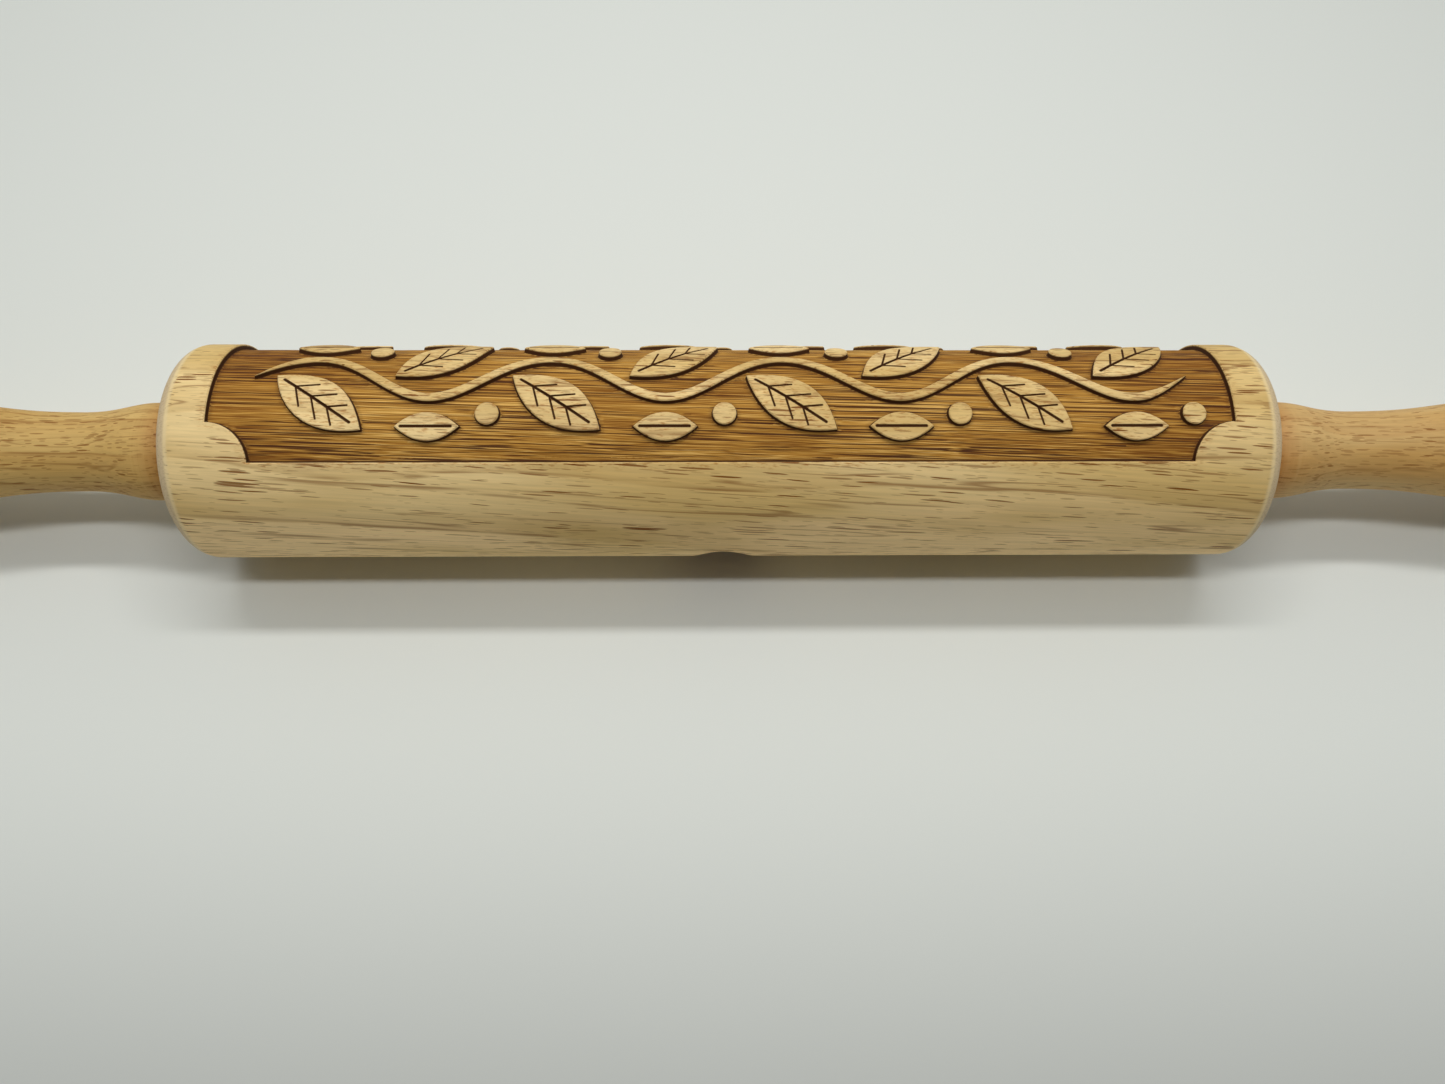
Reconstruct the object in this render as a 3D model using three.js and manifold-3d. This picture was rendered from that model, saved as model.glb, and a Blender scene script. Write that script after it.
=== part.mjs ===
// Embossed rolling pin: an engraved wooden barrel that turns on a steel axle between two turned handles.
// Millimetres. +X runs along the axle, -Y faces the cook, +Z is up, and the origin is the middle of the axle.

import * as THREE from 'three';
import { mergeVertices } from 'three/addons/utils/BufferGeometryUtils.js';
import Module from 'manifold-3d';

// Fits and clearances
const RUNNING_CLEARANCE = 0.1; // round a turning shaft, on the radius
const SLIP_CLEARANCE = 0.15; // round a shaft that is only pushed through, on the radius
const PRESS_CLEARANCE = 0.1; // round a pressed or glued piece, on the radius
const SEAT_GAP = 0.2; // between two faces that are clamped together
const END_PLAY = 0.4; // between each bush and its thrust washer

// Axle: a rod with a thinner, threaded tenon at each end
const TENON_RADIUS = 3;
const AXLE_SHOULDER = 1;
const AXLE_CHAMFER = 0.8;
const AXLE_RELIEF = 1; // free space round the rod inside the barrel
const TENON_STANDOUT = 1.5; // thread left showing past the nut

// Flanged bush in each end of the barrel
const BUSH_WALL = 4;
const BUSH_LENGTH = 20;
const BUSH_FLANGE_LIP = 2.5;
const BUSH_FLANGE_THICKNESS = 2;
const BUSH_FLANGE_PROUD = 0.5; // keeps the wood of the barrel off the washer
const BUSH_LEAD_IN = 1;

// Washers and nuts
const THRUST_WASHER_LIP = 4; // past the axle's rod
const THRUST_WASHER_THICKNESS = 1.2;
const NUT_WASHER_LIP = 3; // past the tenon
const NUT_WASHER_THICKNESS = 1.6;
const NUT_WALL = 2; // from the thread to a flat
const NUT_HEIGHT = 5;
const NUT_CHAMFER_ANGLE = THREE.MathUtils.degToRad(30);
const NUT_FACE_SETBACK = 0.3; // from a flat to the round edge of the nut's face

// Barrel
const BARREL_LENGTH = 250;
const BARREL_RADIUS = 25.4;
const BARREL_END_ROUND = 5;

// Handle: face, collar, waist, belly and rounded end, from the barrel outwards
const HANDLE_LENGTH = 90.7;
const HANDLE_FACE_RADIUS = 8.5;
const HANDLE_COLLAR_RADIUS = 11.7;
const HANDLE_COLLAR_FROM_FACE = 7;
const HANDLE_WAIST_RADIUS = 9.45;
const HANDLE_WAIST_FROM_FACE = 25;
const HANDLE_BELLY_RADIUS = 12.5;
const HANDLE_BELLY_FROM_END = 21;
const HANDLE_END_RIM = 1.8; // flat ring left round the plug

// Nut pocket in the handle's end, and the plug that closes it
const POCKET_CLEARANCE = 0.3;
const PLUG_LENGTH = 6;
const PLUG_CROWN = 0.6;
const PLUG_AIR_GAP = 0.8; // between the tenon and the plug

// Engraved panel, measured along the barrel and round its surface
const PANEL_END_MARGIN = 12;
const PANEL_FRONT_ANGLE = THREE.MathUtils.degToRad(33.5); // from the top of the barrel down to the front edge
const PANEL_DEPTH = 1.3;
const PANEL_CORNER_SCOOP = 9;

// Vine left standing in the panel: rows of a wavy stem with leaves in its hollows and berries at its turns
const VINE_ROWS = 2;
const VINE_ROW_PITCH = 37;
const VINE_ROW_MARGIN = 21;
const VINE_END_MARGIN = 9;
const VINE_WAVES = 4;
const VINE_SWING = 6;
const STEM_WIDTH = 2;
const STEM_TAPER_LENGTH = 10;
const LEAF_LENGTH = 24;
const LEAF_WIDTH = 11;
const LEAF_TILT = THREE.MathUtils.degToRad(35);
const LEAF_BASE_BACKSET = 8;
const SIDE_LEAF_LENGTH = 14;
const SIDE_LEAF_WIDTH = 6.5;
const SIDE_LEAF_OFFSET = 13;
const BERRY_RADIUS = 2.6;
const BERRY_OFFSET = 10;

// Fineness of the facets
const BARREL_FACETS = 48;
const HANDLE_FACETS = 32;
const SHAFT_FACETS = 24;
const PROFILE_STEPS = 5;
const ROUND_STEPS = 3;
const PANEL_ARC_STEPS = 8;
const LEAF_STEPS = 4;
const BERRY_STEPS = 4;
const SCOOP_STEPS = 6;
const STEM_STEPS_PER_WAVE = 12;
const CUT_OVERSHOOT = 3; // how far a cutter stands past the surface that it cuts
const WELD_DISTANCE = 1e-4;
const CIRCLE_CONTROL = 0.5523; // handle length of a cubic curve that follows a quarter circle

// Sizes that follow from the ones above, along the radius
const axleRadius = TENON_RADIUS + AXLE_SHOULDER;
const bushBore = axleRadius + RUNNING_CLEARANCE;
const bushRadius = bushBore + BUSH_WALL;
const bushFlangeRadius = bushRadius + BUSH_FLANGE_LIP;
const tenonHole = TENON_RADIUS + SLIP_CLEARANCE;
const thrustWasherRadius = axleRadius + THRUST_WASHER_LIP;
const nutWasherRadius = TENON_RADIUS + NUT_WASHER_LIP;
const nutFlat = TENON_RADIUS + NUT_WALL;
const nutCorner = nutFlat / Math.cos(Math.PI / 6);
const pocketRadius = Math.max(nutWasherRadius, nutCorner) + POCKET_CLEARANCE;
const plugRadius = pocketRadius - PRESS_CLEARANCE;
const handleEndRadius = pocketRadius + HANDLE_END_RIM;

// Sizes that follow from the ones above, along the axle from its middle outwards
const barrelEnd = BARREL_LENGTH / 2;
const bushFace = barrelEnd + BUSH_FLANGE_PROUD;
const thrustWasherStart = bushFace + END_PLAY;
const axleShoulderEnd = thrustWasherStart - SEAT_GAP;
const handleStart = thrustWasherStart + THRUST_WASHER_THICKNESS + SEAT_GAP;
const handleEnd = handleStart + HANDLE_LENGTH;
const tenonEnd = handleEnd - PLUG_LENGTH - PLUG_AIR_GAP;
const nutStart = tenonEnd - TENON_STANDOUT - NUT_HEIGHT;
const nutWasherStart = nutStart - SEAT_GAP - NUT_WASHER_THICKNESS;
const pocketFloor = nutWasherStart - SEAT_GAP;

// Sizes of the engraved panel
const panelLength = BARREL_LENGTH - 2 * PANEL_END_MARGIN;
const panelHeight = 2 * VINE_ROW_MARGIN + (VINE_ROWS - 1) * VINE_ROW_PITCH;
const waveLength = (panelLength - 2 * VINE_END_MARGIN) / VINE_WAVES;
const vineHalf = (waveLength * VINE_WAVES) / 2;

const wasm = await Module();
wasm.setup();

// Finishes of the pieces
function finish(color, roughness, metalness) {
  return new THREE.MeshStandardMaterial({ color, roughness, metalness });
}

const paleWood = () => finish(0xdcc393, 0.62, 0);
const tanWood = () => finish(0xc8a266, 0.58, 0);
const whiteNylon = () => finish(0xe6e2d6, 0.45, 0);
const brightSteel = () => finish(0xb4b6b8, 0.35, 1);

// A closed solid, ready to be joined and cut
function solidOf(geometry) {
  const bare = geometry.clone();
  bare.deleteAttribute('normal');
  bare.deleteAttribute('uv');
  const welded = mergeVertices(bare, WELD_DISTANCE);
  return new wasm.Manifold(new wasm.Mesh({
    numProp: 3,
    vertProperties: welded.attributes.position.array,
    triVerts: Uint32Array.from(welded.index.array),
  }));
}

// The geometry of a joined or cut solid
function geometryOf(solid) {
  const { vertProperties, triVerts } = solid.getMesh();
  const geometry = new THREE.BufferGeometry();
  geometry.setAttribute('position', new THREE.BufferAttribute(vertProperties, 3));
  geometry.setIndex(new THREE.BufferAttribute(triVerts, 1));
  geometry.computeVertexNormals();
  return geometry;
}

// A piece turned about the X axis from a profile of (radius, distance along X).
// The first facet is set half a facet round, so that a flat faces straight up and down.
function turned(profile, facets) {
  const geometry = new THREE.LatheGeometry(profile, facets, Math.PI / facets);
  geometry.rotateZ(-Math.PI / 2);
  return geometry;
}

// The points of a profile that closes on itself
function closedProfile(path, steps) {
  const points = path.getPoints(steps);
  points.push(points[0].clone());
  return points;
}

// A flat washer from its hole and rim, standing on the given distance along X
function washer(hole, rim, start, thickness) {
  const path = new THREE.Path();
  path.moveTo(hole, start);
  path.lineTo(rim, start);
  path.lineTo(rim, start + thickness);
  path.lineTo(hole, start + thickness);
  return turned(closedProfile(path, PROFILE_STEPS), SHAFT_FACETS);
}

// Barrel before engraving: rounded ends, a long bore and a stepped seat for the bush at each end
function barrelBlank() {
  const bore = axleRadius + AXLE_RELIEF;
  const seat = bushRadius + PRESS_CLEARANCE;
  const seatEnd = bushFace - BUSH_LENGTH - SEAT_GAP;
  const recess = bushFlangeRadius + PRESS_CLEARANCE;
  const recessEnd = bushFace - BUSH_FLANGE_THICKNESS - SEAT_GAP;
  const roundCentre = BARREL_RADIUS - BARREL_END_ROUND;
  const roundStart = barrelEnd - BARREL_END_ROUND;
  const path = new THREE.Path();
  path.moveTo(recess, -barrelEnd);
  path.lineTo(roundCentre, -barrelEnd);
  path.absarc(roundCentre, -roundStart, BARREL_END_ROUND, -Math.PI / 2, 0, false);
  path.absarc(roundCentre, roundStart, BARREL_END_ROUND, 0, Math.PI / 2, false);
  path.lineTo(recess, barrelEnd);
  path.lineTo(recess, recessEnd);
  path.lineTo(seat, recessEnd);
  path.lineTo(seat, seatEnd);
  path.lineTo(bore, seatEnd);
  path.lineTo(bore, -seatEnd);
  path.lineTo(seat, -seatEnd);
  path.lineTo(seat, -recessEnd);
  path.lineTo(recess, -recessEnd);
  return turned(closedProfile(path, ROUND_STEPS), BARREL_FACETS);
}

// Bends a flat outline on to the barrel as an upright post that reaches through the panel's depth.
// The outline lies in (u, v): u along the barrel from its middle, v round it from the panel's front edge.
function wrappedPost(outline, steps) {
  const low = BARREL_RADIUS - PANEL_DEPTH - CUT_OVERSHOOT;
  const depth = PANEL_DEPTH + 2 * CUT_OVERSHOOT;
  const options = { depth, steps: 1, bevelEnabled: false, curveSegments: steps };
  const geometry = new THREE.ExtrudeGeometry(outline, options);
  const position = geometry.attributes.position;
  for (let i = 0; i < position.count; i += 1) {
    const angle = PANEL_FRONT_ANGLE - position.getY(i) / BARREL_RADIUS;
    const radius = low + position.getZ(i);
    position.setXYZ(i, position.getX(i), -radius * Math.sin(angle), radius * Math.cos(angle));
  }
  return solidOf(geometry);
}

// The sunk panel as a curved slab: a sector of a ring, drawn in (y, z) and drawn out along X
function panelSlab() {
  const front = Math.PI / 2 + PANEL_FRONT_ANGLE;
  const back = front - panelHeight / BARREL_RADIUS;
  const sector = new THREE.Shape();
  sector.absarc(0, 0, BARREL_RADIUS + CUT_OVERSHOOT, back, front, false);
  sector.absarc(0, 0, BARREL_RADIUS - PANEL_DEPTH, front, back, true);
  const options = { depth: panelLength, steps: 1, bevelEnabled: false, curveSegments: PANEL_ARC_STEPS };
  const geometry = new THREE.ExtrudeGeometry(sector, options);
  geometry.translate(0, 0, -panelLength / 2);
  const alongAxle = new THREE.Vector3(1, 0, 0);
  const towardsBack = new THREE.Vector3(0, 1, 0);
  const up = new THREE.Vector3(0, 0, 1);
  geometry.applyMatrix4(new THREE.Matrix4().makeBasis(towardsBack, up, alongAxle));
  return solidOf(geometry);
}

function circleShape(u, v, radius) {
  const shape = new THREE.Shape();
  shape.absarc(u, v, radius, 0, 2 * Math.PI, false);
  return shape;
}

// A pointed leaf between its base and its tip, swelling to its full width halfway along
function leafShape(base, angle, length, width) {
  const along = new THREE.Vector2(Math.cos(angle), Math.sin(angle));
  const across = new THREE.Vector2(-along.y, along.x);
  const tip = base.clone().addScaledVector(along, length);
  const middle = base.clone().addScaledVector(along, length / 2);
  const left = middle.clone().addScaledVector(across, width);
  const right = middle.clone().addScaledVector(across, -width);
  const shape = new THREE.Shape();
  shape.moveTo(base.x, base.y);
  shape.quadraticCurveTo(right.x, right.y, tip.x, tip.y);
  shape.quadraticCurveTo(left.x, left.y, base.x, base.y);
  return shape;
}

// A wavy stem: a sine line thickened square to its own direction, drawn to a point at both ends
function stemShape(rowHeight) {
  const count = VINE_WAVES * STEM_STEPS_PER_WAVE;
  const upper = [];
  const lower = [];
  for (let i = 0; i <= count; i += 1) {
    const run = (2 * vineHalf * i) / count;
    const phase = (2 * Math.PI * run) / waveLength;
    const slope = ((2 * Math.PI * VINE_SWING) / waveLength) * Math.cos(phase);
    const fromEnd = Math.min(run, 2 * vineHalf - run);
    const taper = Math.min(1, fromEnd / STEM_TAPER_LENGTH);
    const half = (STEM_WIDTH / 2) * taper * Math.sqrt(1 + slope * slope);
    const middle = rowHeight + VINE_SWING * Math.sin(phase);
    lower.push(new THREE.Vector2(run - vineHalf, middle - half));
    upper.push(new THREE.Vector2(run - vineHalf, middle + half));
  }
  return new THREE.Shape([...lower, ...upper.slice(1, -1).reverse()]);
}

// One row of the vine: its stem, then at each half wave a large leaf, a side leaf and a berry
function vineRow(rowHeight) {
  const posts = [wrappedPost(stemShape(rowHeight), 1)];
  for (let turn = 0; turn < 2 * VINE_WAVES; turn += 1) {
    const crest = ((turn + 0.5) * waveLength) / 2 - vineHalf;
    const side = turn % 2 === 0 ? 1 : -1;
    const leafBase = new THREE.Vector2(crest - LEAF_BASE_BACKSET, rowHeight);
    const sideLeafBase = new THREE.Vector2(crest - SIDE_LEAF_LENGTH / 2, rowHeight + side * SIDE_LEAF_OFFSET);
    const leaf = leafShape(leafBase, -side * LEAF_TILT, LEAF_LENGTH, LEAF_WIDTH);
    const sideLeaf = leafShape(sideLeafBase, 0, SIDE_LEAF_LENGTH, SIDE_LEAF_WIDTH);
    const berry = circleShape(crest + waveLength / 4, rowHeight + side * BERRY_OFFSET, BERRY_RADIUS);
    posts.push(wrappedPost(leaf, LEAF_STEPS));
    posts.push(wrappedPost(sideLeaf, LEAF_STEPS));
    posts.push(wrappedPost(berry, BERRY_STEPS));
  }
  return posts;
}

// The wood that the engraving burns away: the sunk panel less its scooped corners and its vine
function engraving() {
  const posts = [];
  for (const u of [-panelLength / 2, panelLength / 2]) {
    for (const v of [0, panelHeight]) {
      posts.push(wrappedPost(circleShape(u, v, PANEL_CORNER_SCOOP), SCOOP_STEPS));
    }
  }
  for (let row = 0; row < VINE_ROWS; row += 1) {
    posts.push(...vineRow(VINE_ROW_MARGIN + row * VINE_ROW_PITCH));
  }
  return posts.reduce((slab, post) => slab.subtract(post), panelSlab());
}

function barrelGeometry() {
  return geometryOf(solidOf(barrelBlank()).subtract(engraving()));
}

// Axle: the rod between its shoulders, then a chamfered tenon at each end
function axleGeometry() {
  const profile = [
    new THREE.Vector2(0, -tenonEnd),
    new THREE.Vector2(TENON_RADIUS - AXLE_CHAMFER, -tenonEnd),
    new THREE.Vector2(TENON_RADIUS, AXLE_CHAMFER - tenonEnd),
    new THREE.Vector2(TENON_RADIUS, -axleShoulderEnd),
    new THREE.Vector2(axleRadius, -axleShoulderEnd),
    new THREE.Vector2(axleRadius, axleShoulderEnd),
    new THREE.Vector2(TENON_RADIUS, axleShoulderEnd),
    new THREE.Vector2(TENON_RADIUS, tenonEnd - AXLE_CHAMFER),
    new THREE.Vector2(TENON_RADIUS - AXLE_CHAMFER, tenonEnd),
    new THREE.Vector2(0, tenonEnd),
  ];
  return turned(profile, SHAFT_FACETS);
}

// Bush: a sleeve with a lead-in at its inner end and a flange let into the barrel's end
function bushGeometry() {
  const start = bushFace - BUSH_LENGTH;
  const flangeStart = bushFace - BUSH_FLANGE_THICKNESS;
  const path = new THREE.Path();
  path.moveTo(bushBore, start);
  path.lineTo(bushRadius - BUSH_LEAD_IN, start);
  path.lineTo(bushRadius, start + BUSH_LEAD_IN);
  path.lineTo(bushRadius, flangeStart);
  path.lineTo(bushFlangeRadius, flangeStart);
  path.lineTo(bushFlangeRadius, bushFace);
  path.lineTo(bushBore, bushFace);
  return turned(closedProfile(path, PROFILE_STEPS), SHAFT_FACETS);
}

// Handle: a rounded collar, a waist for the fingers, a belly for the palm, a rounded end with a nut pocket
function handleGeometry() {
  const collar = handleStart + HANDLE_COLLAR_FROM_FACE;
  const waist = handleStart + HANDLE_WAIST_FROM_FACE;
  const belly = handleEnd - HANDLE_BELLY_FROM_END;
  const collarToWaist = waist - collar;
  const waistToBelly = belly - waist;
  const faceToCollar = HANDLE_COLLAR_RADIUS - HANDLE_FACE_RADIUS;
  const endToBelly = HANDLE_BELLY_RADIUS - handleEndRadius;
  const path = new THREE.Path();
  path.moveTo(tenonHole, handleStart);
  path.lineTo(HANDLE_FACE_RADIUS, handleStart);
  path.bezierCurveTo(
    HANDLE_FACE_RADIUS + CIRCLE_CONTROL * faceToCollar, handleStart,
    HANDLE_COLLAR_RADIUS, collar - CIRCLE_CONTROL * HANDLE_COLLAR_FROM_FACE,
    HANDLE_COLLAR_RADIUS, collar,
  );
  path.bezierCurveTo(
    HANDLE_COLLAR_RADIUS, collar + collarToWaist / 3,
    HANDLE_WAIST_RADIUS, waist - collarToWaist / 2,
    HANDLE_WAIST_RADIUS, waist,
  );
  path.bezierCurveTo(
    HANDLE_WAIST_RADIUS, waist + waistToBelly / 2,
    HANDLE_BELLY_RADIUS, belly - waistToBelly / 2,
    HANDLE_BELLY_RADIUS, belly,
  );
  path.bezierCurveTo(
    HANDLE_BELLY_RADIUS, belly + CIRCLE_CONTROL * HANDLE_BELLY_FROM_END,
    handleEndRadius + CIRCLE_CONTROL * endToBelly, handleEnd,
    handleEndRadius, handleEnd,
  );
  path.lineTo(pocketRadius, handleEnd);
  path.lineTo(pocketRadius, pocketFloor);
  path.lineTo(tenonHole, pocketFloor);
  return turned(closedProfile(path, PROFILE_STEPS), HANDLE_FACETS);
}

// Nut: a hexagon drawn out along X, with its corners turned off at both faces and a round hole
function nutGeometry() {
  const hexagon = new THREE.Shape();
  for (let corner = 0; corner < 6; corner += 1) {
    const angle = (corner * Math.PI) / 3;
    hexagon.lineTo(nutCorner * Math.cos(angle), nutCorner * Math.sin(angle));
  }
  const prism = new THREE.ExtrudeGeometry(hexagon, { depth: NUT_HEIGHT, steps: 1, bevelEnabled: false });
  prism.rotateY(Math.PI / 2);
  prism.translate(nutStart, 0, 0);
  const face = nutFlat - NUT_FACE_SETBACK;
  const rim = nutCorner + NUT_FACE_SETBACK;
  const chamfer = (rim - face) * Math.tan(NUT_CHAMFER_ANGLE);
  const path = new THREE.Path();
  path.moveTo(tenonHole, nutStart);
  path.lineTo(face, nutStart);
  path.lineTo(rim, nutStart + chamfer);
  path.lineTo(rim, nutStart + NUT_HEIGHT - chamfer);
  path.lineTo(face, nutStart + NUT_HEIGHT);
  path.lineTo(tenonHole, nutStart + NUT_HEIGHT);
  const round = turned(closedProfile(path, PROFILE_STEPS), SHAFT_FACETS);
  return geometryOf(solidOf(prism).intersect(solidOf(round)));
}

// Plug: a short dowel with a crowned face, flush with the handle's end
function plugGeometry() {
  const path = new THREE.Path();
  path.moveTo(0, handleEnd - PLUG_LENGTH);
  path.lineTo(plugRadius, handleEnd - PLUG_LENGTH);
  path.lineTo(plugRadius, handleEnd - PLUG_CROWN);
  path.quadraticCurveTo(plugRadius / 2, handleEnd, 0, handleEnd);
  return turned(path.getPoints(PROFILE_STEPS), SHAFT_FACETS);
}

function piece(name, geometry, material) {
  const mesh = new THREE.Mesh(geometry, material);
  mesh.name = name;
  return mesh;
}

// Everything on one end of the axle, built for the +X end
function endAssembly(side) {
  const thrust = washer(tenonHole, thrustWasherRadius, thrustWasherStart, THRUST_WASHER_THICKNESS);
  const nutWasher = washer(tenonHole, nutWasherRadius, nutWasherStart, NUT_WASHER_THICKNESS);
  const group = new THREE.Group();
  group.add(piece(`${side}_bush`, bushGeometry(), whiteNylon()));
  group.add(piece(`${side}_thrust_washer`, thrust, brightSteel()));
  group.add(piece(`${side}_handle`, handleGeometry(), tanWood()));
  group.add(piece(`${side}_nut_washer`, nutWasher, brightSteel()));
  group.add(piece(`${side}_nut`, nutGeometry(), brightSteel()));
  group.add(piece(`${side}_end_plug`, plugGeometry(), tanWood()));
  return group;
}

const rollingPin = new THREE.Group();
rollingPin.add(piece('barrel', barrelGeometry(), paleWood()));
rollingPin.add(piece('axle', axleGeometry(), brightSteel()));
rollingPin.add(endAssembly('right'));
const leftEnd = endAssembly('left');
leftEnd.rotation.z = Math.PI;
rollingPin.add(leftEnd);

export default rollingPin;
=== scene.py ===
"""Looks of the embossed rolling pin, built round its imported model.

Sizes are in millimetres, and become metres where a mesh is made. +X runs along the axle, -Y faces the cook,
+Z is up, and the origin is the middle of the axle. An angle round the axle is measured from the top of the
barrel towards the cook.
"""

import logging
import math
from collections.abc import Iterator
from dataclasses import dataclass, field
from enum import Enum
from typing import Any

import bpy
import numpy as np
from mathutils import Matrix, Vector
from mathutils.geometry import delaunay_2d_cdt


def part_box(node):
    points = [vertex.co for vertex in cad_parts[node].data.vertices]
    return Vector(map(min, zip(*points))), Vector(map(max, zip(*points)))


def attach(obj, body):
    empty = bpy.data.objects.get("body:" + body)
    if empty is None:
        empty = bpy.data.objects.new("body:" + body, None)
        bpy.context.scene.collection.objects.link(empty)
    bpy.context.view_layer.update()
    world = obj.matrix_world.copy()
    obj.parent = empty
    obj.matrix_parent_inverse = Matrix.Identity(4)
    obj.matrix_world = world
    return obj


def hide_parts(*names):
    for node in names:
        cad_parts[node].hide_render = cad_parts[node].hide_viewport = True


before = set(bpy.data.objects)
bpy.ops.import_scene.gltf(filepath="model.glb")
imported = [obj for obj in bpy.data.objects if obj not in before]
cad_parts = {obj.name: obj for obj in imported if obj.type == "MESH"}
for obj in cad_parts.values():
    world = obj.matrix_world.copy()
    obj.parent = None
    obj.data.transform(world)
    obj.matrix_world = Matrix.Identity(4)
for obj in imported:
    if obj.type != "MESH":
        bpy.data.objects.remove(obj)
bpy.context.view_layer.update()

Array = np.ndarray
Place = np.ndarray | tuple[float, float]
Colour = tuple[int, int, int]
Node = bpy.types.Node
Socket = bpy.types.NodeSocket
Material = bpy.types.Material
NodeTree = bpy.types.NodeTree

LOG = logging.getLogger("rolling_pin")
MM = 0.001
ZERO = (0.0, 0.0, 0.0)
SHARP_EDGE = math.radians(32)
ROLLER = "roller"
AXLE_BODY = "axle_and_handles"

# How close points of the flat net, and of a finished surface, are when they count as one
SAME_POINT = 1e-6
MERGED_POINT = 1e-3

# Which triangles the flat net keeps: all of them, out to its hull
WHOLE_HULL = 0

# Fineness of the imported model's round pieces, which gives their true radius back
BARREL_FACETS = 48
HANDLE_FACETS = 32
SHAFT_FACETS = 24

# Least cosine between a corner's normal and its edges' that a shifted line follows in full
SHARPEST_LEAN = 0.4

# Fineness of the surfaces made here
HANDLE_TURN = 96
SHAFT_TURN = 72
CURVE_STEPS = 36


class Side(Enum):
    """The two ends of the axle. The value is the way that an end's X axis points."""

    LEFT = -1
    RIGHT = 1

    def node(self, piece: str) -> str:
        """Names the node of a piece at this end."""
        return f"{self.name.lower()}_{piece}"


@dataclass(frozen=True)
class Reach:
    """How far a turned node reaches: its two ends along X and its true radius, in millimetres.

    A round node stands on a flat of its facets, so its true radius is its lowest point divided by
    cos(pi / facets). A node that stands on a corner has the default, for which that cosine is 1.
    """

    start: float
    end: float
    radius: float

    @classmethod
    def of(cls, node: str, facets: float = math.inf) -> "Reach":
        """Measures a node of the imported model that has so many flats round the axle."""
        low, high = (np.array(corner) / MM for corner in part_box(node))
        return cls(float(low[0]), float(high[0]), float(-low[2]) / math.cos(math.pi / facets))


@dataclass
class Surface:
    """A mesh as whole arrays.

    points has a row of x, y and z for each point, faces a row of three point numbers for each triangle, and
    each attribute a value for each point.
    """

    points: Array
    faces: Array
    attributes: dict[str, Array] = field(default_factory=dict)

    def joined(self, other: "Surface") -> "Surface":
        """Puts another surface with the same attributes beside this one.

        Args:
            other: The surface to add.

        Returns:
            One surface that holds both, still unmerged.
        """
        added = other.attributes
        attributes = {key: np.concatenate([values, added[key]]) for key, values in self.attributes.items()}
        faces = np.concatenate([self.faces, other.faces + len(self.points)])
        return Surface(np.concatenate([self.points, other.points]), faces, attributes)

    def outwards(self) -> "Surface":
        """Turns the faces, which agree with each other, outwards.

        The sum of a . (b x c) over the triangles is six times the volume of a closed surface, and a part of
        one that bulges away from the axle has it positive too. So a negative sum means that the faces point
        inwards.

        Returns:
            The surface with its faces outwards.
        """
        a, b, c = (self.points[self.faces[:, corner]] for corner in range(3))
        inwards = (a * np.cross(b, c)).sum() < 0
        return Surface(self.points, self.faces[:, ::-1] if inwards else self.faces, self.attributes)

    def closed(self) -> "Surface":
        """Merges equal points, drops the triangles that this flattens, and turns the faces outwards.

        Returns:
            The closed surface.
        """
        keys = np.round(self.points / MERGED_POINT).astype(np.int64)
        _, first, inverse = np.unique(keys, axis=0, return_index=True, return_inverse=True)
        faces = inverse.reshape(-1)[self.faces]
        faces = faces[(faces != np.roll(faces, -1, axis=1)).all(axis=1)]
        attributes = {key: values[first] for key, values in self.attributes.items()}
        return Surface(self.points[first], faces, attributes).outwards()

    def at(self, side: Side) -> "Surface":
        """Gives a piece of the right-hand end half a turn about Z where it belongs on the left."""
        return Surface(self.points * (side.value, side.value, 1), self.faces, self.attributes)

    def piece(self, name: str, material: Material, body: str, slot: str, node: str) -> None:
        """Makes the surface an object that rides on a body and stands for a node.

        Args:
            name: The new object's name.
            material: Its finish.
            body: The body that carries it.
            slot: The record's material slot; it is not used.
            node: The node that it replaces.
        """
        mesh = bpy.data.meshes.new(name)
        mesh.from_pydata((self.points * MM).tolist(), [], self.faces.tolist())
        for key, values in self.attributes.items():
            attribute = mesh.attributes.new(key, "FLOAT", "POINT")
            attribute.data.foreach_set("value", values.astype(np.float32))
        mesh.shade_smooth()
        mesh.set_sharp_from_angle(angle=SHARP_EDGE)
        mesh.materials.append(material)
        made = bpy.data.objects.new(name, mesh)
        bpy.context.scene.collection.objects.link(made)
        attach(made, body)
        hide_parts(node)
        LOG.info("%s: %d triangles on %s", name, len(self.faces), body)


def grid_faces(rows: int, columns: int, closed: bool) -> Array:
    """Joins the points of a grid whose columns run round the axle.

    Args:
        rows: Points along the profile.
        columns: Points round the axle, the last beside the first.
        closed: Whether the last row meets the first.

    Returns:
        Two triangles for each cell of the grid.
    """
    index = np.arange(rows * columns).reshape(rows, columns)
    below = np.roll(index, -1, axis=0)
    if not closed:
        index, below = index[:-1], below[:-1]
    a, b = index.ravel(), np.roll(index, -1, axis=1).ravel()
    d, c = below.ravel(), np.roll(below, -1, axis=1).ravel()
    return np.concatenate([np.stack([a, b, c], axis=1), np.stack([a, c, d], axis=1)])


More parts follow.
